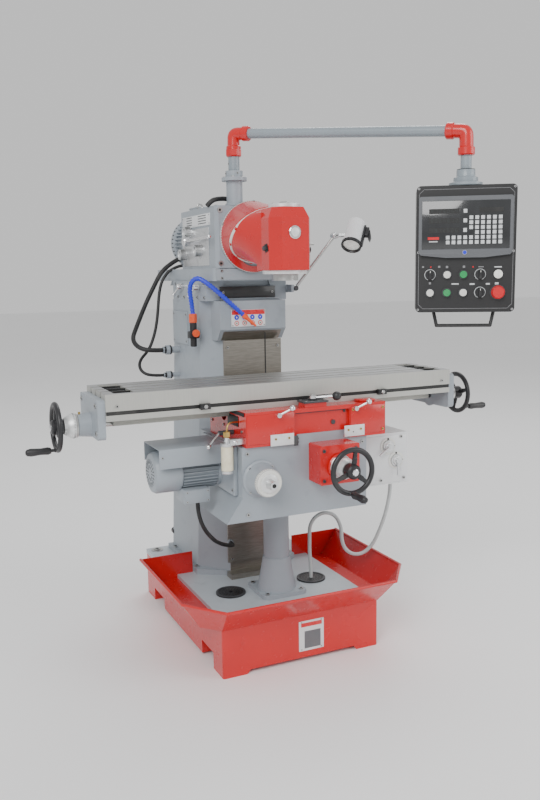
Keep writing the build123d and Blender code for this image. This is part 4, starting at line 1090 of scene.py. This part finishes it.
class MILL_OT_head(Step):
    """Make the scales, cap, nose ring and sight glass of the head"""
    bl_idname = "mill.head"
    bl_label = "Head fittings"

    def build(self, context):
        swivel = Piece("swivel_scale")
        swivel.turned(JOINT, [(122, -4), (128, -4), (128, -0.8), (122, -0.8)], "red_paint", 96)
        swivel.bars(aimed(0, 184, DRIVE_Z, FRONT), "white_plastic", 125.6, 90, 0.8, 4.0, 5.0)
        swivel.screws([(122 * cos(a), 180, DRIVE_Z + 122 * sin(a), FRONT)
                       for a in (radians(20), radians(160), radians(90))], 6, 6)
        swivel.done("head_swivel", "red_paint")
        head = Piece("head_fittings")
        head.turned(JOINT, [(116, 0.8), (128.4, 0.8), (124.6, 9), (116, 9)], "white_plastic", 96)
        head.bars(JOINT @ at(0, 0, 4.8), "red_paint", 125.6, 11, 4.6, 10.0, 9.0)
        head.turned(at(0, SPINDLE_Y, 0), [(0, 1535), (52, 1535), (53, 1536), (53, 1547),
                                          (51, 1549), (0, 1549)], "satin_dial", 72)
        head.turned(at(0, SPINDLE_Y, 0), drum(16, 1548, 1556, 2), "steel", 32)
        head.turned(at(0, SPINDLE_Y, 0), [(66, 1321.4), (74, 1321.4), (75, 1323), (75, 1333),
                                          (73, 1335), (66, 1335)], "satin_dial", 72)
        head.turned(aimed(*SIGHT, FRONT), [(0, 0), (21, 0), (21, 4), (19, 5.5), (0, 6.5)],
                    "chrome", 36)
        head.turned(aimed(*SIGHT, FRONT), [(0, 6), (15, 6), (12, 7.4), (0, 7.8)],
                    "satin_dial", 32)
        # Black plate: painted shade of the recess on the head's left side; the dark grey drum in
        # it is the bolt.
        pocket = wheel_place(-75.2, -86, 1405, LEFT, FRONT)
        head.plate(pocket, [(-14, 12), (-4, -15), (20, -9), (10, 15)], 0.8, "black_mark")
        head.turned(pocket, drum(8.4, 0, 11, 1.5), "dark_grey", 24)
        head.turned(aimed(75, -90, 1400, RIGHT), drum(13, 0, 8, 2), "black_plastic", 28)
        head.turned(aimed(75, -90, 1418, RIGHT), drum(3.4, 0, 24, 1), "steel", 16)
        head.screws([(42 * cos(a), SPINDLE_Y + 42 * sin(a), 1550, UP)
                     for a in [tau * i / 6 for i in range(6)]], 3, 3)
        head.done("head", "red_paint")


class MILL_OT_column(Step):
    """Make the column's covers, sign plate, wipers and cable gland"""
    bl_idname = "mill.column"
    bl_label = "Column fittings"

    def build(self, context):
        post = Piece("column_trim")
        sign = at(-21, 197.4, 1165.5)
        post.slab(sign, (134, 1.2, 61), "white_paint", 0)
        post.slab(sign @ at(0, -0.7, 21), (130, 0.8, 17), "red_plastic", 0)
        for column in range(4):
            for row in range(2):
                spot = sign @ at(-46.5 + 31 * column, -0.6, 3 - 21 * row)
                spot = spot @ Matrix.Rotation(radians(90), 4, "X")
                finish = ("blue_plastic", "red_plastic")[row]
                post.turned(spot, [(6.4, 0), (9, 0), (9, 0.8), (6.4, 0.8)], finish, 28)
                post.turned(spot, [(0, 0), (6.4, 0), (6.4, 0.6), (0, 0.6)],
                            ("blue_plastic", "white_plastic")[row], 24)
                post.slab(spot @ at(0, 0, 0.8), (4, 5, 0.5),
                          ("white_plastic", "black_mark")[row], 0)
        post.screws([(-21 + x, 196.6, 1165.5 + z, FRONT) for x in (-62, 62) for z in (-26, 26)],
                    2.4, 1.6)
        post.bolts(-165.4, (474, 624), (1068, 1171), LEFT, 4, 3)
        post.bolts((-118, 118), 651.4, (412, 715, 1018), (0, 1, 0), 5, 3)
        post.turned(aimed(96, 651, 715, (0, 1, 0)), [(0, 0), (15, 0), (15, 5), (12, 8), (0, 8)],
                    "black_plastic", 32)
        post.slab(at(96, 661, 715), (6, 6, 24), "black_plastic", 1)
        # Grid of black bars on the column's back: painted shade of the slot openings.
        post.blocks(aimed(0, 651.2, 900, (0, 1, 0)), "black_mark", 9, 6, 144.0, 75.0, 0.8, 12.0,
                    4.0)
        for y, z in ((575, 1030), (575, 930)):
            size = 15 if z > 1000 else 11
            post.turned(aimed(-228, y, z, RIGHT), drum(size, 0, 12, 2), "black_plastic", 6)
            post.turned(aimed(-206, y, z, RIGHT), drum(size + 4, 0, 9, 2), "black_plastic", 28)
        post.slab(at(50, 210.4, 680), (4, 1.2, 860), "black_mark", 0)
        post.bolts((-100, 100), 208, (262, 1060), FRONT, 5, 3)
        post.bolts((-196, 196), (340, 470, 600), 207, UP, 11, 8, "steel", 6)
        post.turned(aimed(-180, 640, 260, (0, 1, 0)), drum(14, -4, 26, 3), "black_plastic", 24)
        post.done("machine_base", "grey_paint")


class MILL_OT_table(Step):
    """Make the table's screws, pocket grilles, scale and end fittings"""
    bl_idname = "mill.table"
    bl_label = "Table fittings"

    def build(self, context):
        top = Piece("table_fittings")
        for side in (-1, 1):
            x = side * 573
            for y in (-94, -31.5, 31.5, 94):
                tall = 34 if abs(y) > 60 else 44
                # Black slab sunk in each end pocket: painted shade of the pocket under its grille.
                top.slab(at(x, y, 961.6), (60, tall, 2.4), "black_mark", 0.5)
                top.blocks(at(x, y, 963), "dark_grey", 6, 2, 46.0, tall * 0.46, 0.8, 4.5,
                           tall * 0.34)
        top.slab(at(0, -124.6, 909), (1266, 1, 11.6), "black_mark", 0)
        # Thin black sheets on the walls of the three T-slots: painted shade inside the slots.
        for y in (-63, 0, 63):
            for side in (-6.7, 6.7):
                top.slab(at(0, y + side, 957), (1262, 0.5, 20), "black_mark", 0)
        top.screws([(side * 659.4, y, z, (side, 0, 0)) for side in (-1, 1) for y in (-96, 96)
                    for z in (846, 932)], 8, 6)
        top.screws([(side * 600, -128, 930, FRONT) for side in (-1, 1)], 5, 4)
        for side in (-1, 1):
            top.turned(aimed(side * 702, 0, 860, (side, 0, 0)),
                       [(13, -4), (36, -4), (38, -2), (38, 3), (30, 6), (13, 6)], "steel", 48)
            top.turned(aimed(side * 690, 0, 899, UP), drum(4, -4, 4, 1), "brass", 16)
        top.done("table", "ground_iron")
        for name, x in (("left", -318), ("right", 340)):
            dog = Piece(f"stop_dog_{name}_bolt")
            dog.turned(aimed(x, -141, 909, FRONT), drum(7, 0, 6, 1.5), "steel", 6)
            dog.slab(at(x, -141.4, 909), (30, 1.6, 15), "black_paint", 0.6)
            dog.done(f"stop_dog_{name}", "black_paint")


class MILL_OT_saddle(Step):
    """Make the saddle's covers, brass screws, index plates and lever parts"""
    bl_idname = "mill.saddle"
    bl_label = "Saddle fittings"

    def build(self, context):
        seat = Piece("saddle_fittings")
        seat.slab(at(-115.5, -191, 828), (168, 3, 96), "red_paint", 1.4)
        seat.slab(at(248.5, -191, 828), (136, 3, 96), "red_paint", 1.4)
        seat.bolts((190, 307), -193, (790, 866), FRONT, 4.6, 3, "brass")
        seat.screws([(-14, -179, 784, FRONT), (163, -179, 862, FRONT)], 4.6, 3, "dark_grey")
        seat.turned(aimed(120, -178.4, 828, FRONT), drum(8, 0, 4, 1), "dark_grey", 24)
        for x, wide, z in ((-76, 84, 788), (195, 78, 794)):
            seat.slab(at(x, -193.6, z), (wide, 2, 38), "white_paint", 0.8)
            seat.screws([(x + dx, -195, z + 4, FRONT) for dx in (-24, 24)], 4, 2.4, "brass")
        seat.slab(at(-26, -193.4, 780), (16, 3, 34), "dark_grey", 1)
        seat.slab(at(75, -178.6, 868), (190, 2, 4), "dark_grey", 0.6)
        seat.slab(at(52, -164, 902), (90, 58, 6), "dark_grey", 2)
        seat.bolts((16, 88), (-184, -144), 905, UP, 4, 3)
        seat.slab(at(-204.6, -30, 877), (3, 300, 12), "black_rubber", 1)
        seat.slab(at(320.6, -30, 877), (3, 300, 12), "black_rubber", 1)
        seat.bolts(-205, (-160, 0, 110), 820, LEFT, 5, 4)
        seat.bolts(321, (-160, 0, 110), 820, RIGHT, 5, 4)
        seat.slab(at(260, -150, 889), (60, 40, 8), "red_paint", 2)
        cup = at(-252, -148, 0)
        seat.turned(cup, drum(20, 694, 778, 3), "oil_cup", 36)
        seat.turned(cup, drum(6, 704, 774, 1), "brass", 20)
        seat.turned(cup, drum(21.4, 686, 697, 2), "aluminium", 36)
        seat.turned(cup, drum(21.4, 774, 788, 3), "aluminium", 36)
        seat.turned(cup, drum(9, 787, 806, 2), "chrome", 20)
        seat.turned(cup, drum(12, 805, 824, 2), "brass", 6)
        seat.tube([(-252, -148, 822), (-250, -146, 846), (-230, -140, 852), (-204, -130, 848)], 3,
                  "brass")
        seat.slab(at(-226, -166, 792), (52, 22, 20), "aluminium", 2)
        seat.turned(aimed(-236, -177, 792, FRONT), drum(7, 0, 8, 2), "chrome", 24)
        seat.slab(at(-204, -84, 848), (2, 92, 34), "black_mark", 0.6)
        seat.turned(aimed(-203, -86, 808, LEFT), drum(8, 0, 54, 2), "dark_grey", 24)
        seat.tube([(-254, -87, 808), (-274, -92, 790), (-294, -97, 770)], 4, "chrome",
                  smooth=False)
        seat.turned(aimed(-296, -97, 768, (-1, 0, -1)), round_end(9, 0), "chrome", 28)
        seat.done("saddle", "red_paint")
        lever = Piece("feed_lever_parts")
        lever.turned(at(52, -162, 0), drum(16, 900.5, 911, 2), "black_plastic", 32)
        lever.turned(at(52, -162, 0), drum(10, 918, 926, 2), "steel", 24)
        lever.turned(aimed(124, -198, 918, (72, -36, 6)), round_end(15.6, 0), "black_plastic", 32)
        lever.done("table_feed_lever", "chrome")


class MILL_OT_knee(Step):
    """Make the knee's plates, wipers, feed box labels and levers"""
    bl_idname = "mill.knee"
    bl_label = "Knee fittings"

    def build(self, context):
        knee = Piece("knee_fittings")
        place = aimed(-152, -180, 664, FRONT)
        knee.turned(place, [(0, 0), (62, 0), (62, 6), (56, 10), (50, 34), (44, 56), (0, 57)],
                    "grey_paint", 56)
        knee.screws([(-152 + 54 * cos(a), -191, 664 + 54 * sin(a), FRONT)
                     for a in [tau * (i + 0.5) / 4 for i in range(4)]], 5, 5)
        knee.screws([(27 + dx, -263, z, FRONT) for dx in (14, 133) for z in (650, 750)], 6, 3,
                    "dark_grey")
        knee.turned(aimed(97, -262, 695, FRONT), drum(44, 0, 12, 3), "red_paint", 48)
        knee.turned(aimed(97, -274, 695, FRONT), drum(40, 0, 3, 1), "aluminium", 48)
        knee.slab(at(359, -111.4, 658), (200, 3, 172), "white_paint", 1.4)
        knee.screws([(x, -114, z, FRONT) for x, z in ((435, 737), (270, 737), (351, 583),
                                                      (448, 584), (270, 584))], 6, 4)
        for x, z in ((380, 706), (414, 652)):
            knee.turned(aimed(x, -112, z, FRONT), [(22.6, 0), (31, 0), (31, 3.4), (22.6, 3.4)],
                        "white_plastic", 40)
            knee.slab(at(x, -115.6, z + 26.6), (7, 0.8, 6), "black_mark", 0)
            knee.slab(at(x + 26.6, -115.6, z), (5, 0.8, 3), "black_mark", 0)
        knee.slab(at(30, 205, 770), (248, 8, 8), "black_rubber", 1.5)
        knee.slab(at(30, 205, 528), (248, 8, 8), "black_rubber", 1.5)
        knee.bolts((-196, 232), -181, (548, 750), FRONT, 6, 5)
        knee.turned(aimed(440, -38, 566, (0, 0, -1)), drum(12, -2, 0.8, 0.4), "black_plastic", 24)
        knee.turned(aimed(-173, -181, 618, FRONT), drum(7, 0, 2, 0.6), "dark_grey", 24)
        knee.done("knee", "grey_paint")


class MILL_OT_base(Step):
    """Make the tray rim, drain grilles, anchor nuts and name plate of the base"""
    bl_idname = "mill.base"
    bl_label = "Base fittings"

    def build(self, context):
        base = Piece("base_fittings")
        rim = [(-418, 343, 266), (-418, -141, 266), (-314, -275, 266), (314, -275, 266),
               (418, -141, 266), (418, 343, 266)]
        base.tube(rim, 5.5, "red_paint", smooth=False, sides=5)
        for x in (-163, 163):
            place = at(x, 74, 190.2)
            base.turned(place, [(46, 0), (53.4, 0), (53.4, 1.6), (46, 1.6)], "dark_grey", 48)
            # Black bars inside each drain ring: painted shade of the drain openings.
            for radius, count in ((20.0, 12), (31.0, 18), (41.0, 26)):
                base.bars(place @ at(0, 0, 0.2), "black_mark", radius, count, 6.5, 3.0, 0.6)
        heads = [(x, y, 188, UP) for x in (-261, 261) for y in (-146, 654)]
        base.screws(heads, 15, 10, "steel", 6)
        for x, y, z, way in heads:
            base.turned(at(x, y, 186), [(10, 0), (24, 0), (24, 2.6), (10, 2.6)], "steel", 32)
        base.bolts((-66, 66), (-36, 96), 201, UP, 9, 7, "steel", 6)
        base.turned(at(0, 30, 0), [(46.3, 520), (50, 520), (50, 548), (46.3, 551)], "steel", 48)
        base.slab(at(30, -183, 92), (96, 2, 108), "white_paint", 0.8)
        base.slab(at(34, -184.2, 78), (62, 0.8, 62), "grey_plastic", 0)
        base.slab(at(30, -184.2, 132), (80, 0.8, 14), "red_plastic", 0)
        base.screws([(-8, -184, 142, FRONT), (68, -184, 142, FRONT), (-8, -184, 44, FRONT),
                     (68, -184, 44, FRONT)], 2.6, 1.4)
        base.done("machine_base", "red_paint")


class MILL_OT_levers(Step):
    """Make the balls and hubs of the small clamp levers and selectors"""
    bl_idname = "mill.levers"
    bl_label = "Levers and knobs"

    def build(self, context):
        for name, y in (("front", 330), ("rear", 515)):
            hub = Piece(f"ram_lock_{name}_hub")
            hub.turned(aimed(-160.4, y, 1278, LEFT), [(0, 0.4), (13, 0.4), (13, 16), (10, 24),
                                                      (0, 26)], "chrome", 28)
            hub.turned(aimed(-186, y + 40, 1248, (-26, 40, -30)), round_end(8, 0), "chrome", 24)
            hub.done(f"ram_lock_{name}", "chrome")
        for name, x in (("left", -91), ("right", 196)):
            hub = Piece(f"saddle_lock_{name}_ball")
            hub.turned(aimed(x + 40, -220, 892.7, (40, -30, 22)), round_end(10, 0), "chrome", 28)
            hub.done(f"saddle_lock_{name}", "chrome")
        for name, y, z in (("upper", 470, 1483), ("lower", 530, 1401), ("front", 356, 1411)):
            knob = Piece(f"gear_knob_{name}_face")
            place = aimed(-140.4, y, z, LEFT)
            knob.bars(place @ at(0, 0, 13), "steel", 20.4, 30, 1.6, 2.0, 20.0)
            knob.turned(place, [(0, 21), (15, 21), (15, 23), (4, 23.6), (0, 23.6)],
                        "satin_dial", 32)
            knob.slab(place @ at(0, 9, 24), (2, 9, 1), "black_mark", 0)
            knob.done(f"gear_knob_{name}", "aluminium")
        for name, x, z in (("upper", 380, 706), ("lower", 414, 652)):
            knob = Piece(f"feed_selector_{name}_cap")
            knob.turned(aimed(x, -122.6, z, FRONT), [(0, 0), (17, 0), (15, 3), (0, 3)],
                        "satin_dial", 32)
            knob.done(f"feed_selector_{name}", "aluminium")
        speed = Piece("speed_lever_grip")
        speed.turned(aimed(-166.4, 196, 1455, (0, -250, 6)), round_end(9, 0), "chrome", 28)
        speed.turned(aimed(-174, 446, 1449, LEFT), [(0, 0), (17, 0), (15, 4), (0, 5)],
                     "chrome", 36)
        speed.done("speed_lever", "chrome")


class MILL_OT_stage(Step):
    """Make the floor, the lights and the camera"""
    bl_idname = "mill.stage"
    bl_label = "Stage"

    def light(self, context, name, place, target, size, watts):
        lamp = bpy.data.lights.new(name, "AREA")
        lamp.shape = "DISK"
        lamp.size = size
        lamp.energy = watts
        holder = bpy.data.objects.new(name, lamp)
        holder.location = place
        way = Vector(target) - Vector(place)
        holder.rotation_euler = way.to_track_quat("-Z", "Y").to_euler()
        context.scene.collection.objects.link(holder)

    def build(self, context):
        floor = bmesh.new()
        bmesh.ops.create_grid(floor, x_segments=4, y_segments=4, size=30.0)
        mesh = bpy.data.meshes.new("floor")
        floor.to_mesh(mesh)
        floor.free()
        paper = Finish("studio_floor")
        cloud = paper.noise(0.6, 2)
        shade = paper.mix(cloud, (0.86, 0.86, 0.86, 1), (0.90, 0.90, 0.90, 1))
        mesh.materials.append(paper.close(shade, 0.6 + 0.1 * cloud))
        ground = bpy.data.objects.new("floor", mesh)
        context.scene.collection.objects.link(ground)
        self.light(context, "key", (-3.2, -3.6, 4.2), (0, 0, 0.9), 3.4, 230)
        self.light(context, "fill", (3.8, -3.0, 2.6), (0, 0, 0.9), 3.4, 90)
        self.light(context, "rim", (2.6, 3.2, 5.4), (0, 0, 1.0), 3.2, 110)
        world = bpy.data.worlds.new("studio")
        world.use_nodes = True
        world.node_tree.nodes["Background"].inputs[0].default_value = (1, 1, 1, 1)
        world.node_tree.nodes["Background"].inputs[1].default_value = 0.75
        context.scene.world = world
        lens = bpy.data.cameras.new("camera")
        lens.lens = LENS
        lens.sensor_width = SENSOR
        lens.clip_end = 200
        camera = bpy.data.objects.new("camera", lens)
        right = Vector(CAMERA_RIGHT)
        up = Vector(CAMERA_UP)
        back = right.cross(up)
        turn = Matrix((right, up, back)).transposed().to_4x4()
        camera.matrix_world = Matrix.Translation(CAMERA_PLACE) @ turn
        context.scene.collection.objects.link(camera)
        context.scene.camera = camera


STEPS = (MILL_OT_stage, MILL_OT_frame, MILL_OT_cords, MILL_OT_arm, MILL_OT_pendant,
         MILL_OT_drive, MILL_OT_feed_drive, MILL_OT_wheels, MILL_OT_lamp, MILL_OT_coolant,
         MILL_OT_gearbox, MILL_OT_head, MILL_OT_column, MILL_OT_table, MILL_OT_saddle,
         MILL_OT_knee, MILL_OT_base, MILL_OT_levers)


class MILL_PT_steps(bpy.types.Panel):
    """Lists every step of the milling machine."""
    bl_label = "Milling Machine"
    bl_idname = "MILL_PT_steps"
    bl_space_type = "VIEW_3D"
    bl_region_type = "UI"
    bl_category = "Milling Machine"

    def draw(self, context):
        layout = self.layout
        for name in PAINTS:
            layout.prop(context.scene.mill_paint, name)
        for name in ("motor_ribs", "feed_ribs", "dial_marks"):
            layout.prop(context.scene.mill_sizes, name)
        for step in STEPS:
            layout.operator(step.bl_idname)


CLASSES = (MILL_PG_paint, MILL_PG_sizes, *STEPS, MILL_PT_steps)


def register():
    for item in CLASSES:
        bpy.utils.register_class(item)
    bpy.types.Scene.mill_paint = PointerProperty(type=MILL_PG_paint)
    bpy.types.Scene.mill_sizes = PointerProperty(type=MILL_PG_sizes)


def unregister():
    del bpy.types.Scene.mill_sizes
    del bpy.types.Scene.mill_paint
    for item in reversed(CLASSES):
        bpy.utils.unregister_class(item)


def main():
    register()
    for step in STEPS:
        group, name = step.bl_idname.split(".")
        getattr(getattr(bpy.ops, group), name)()


if __name__ == "__main__":
    main()
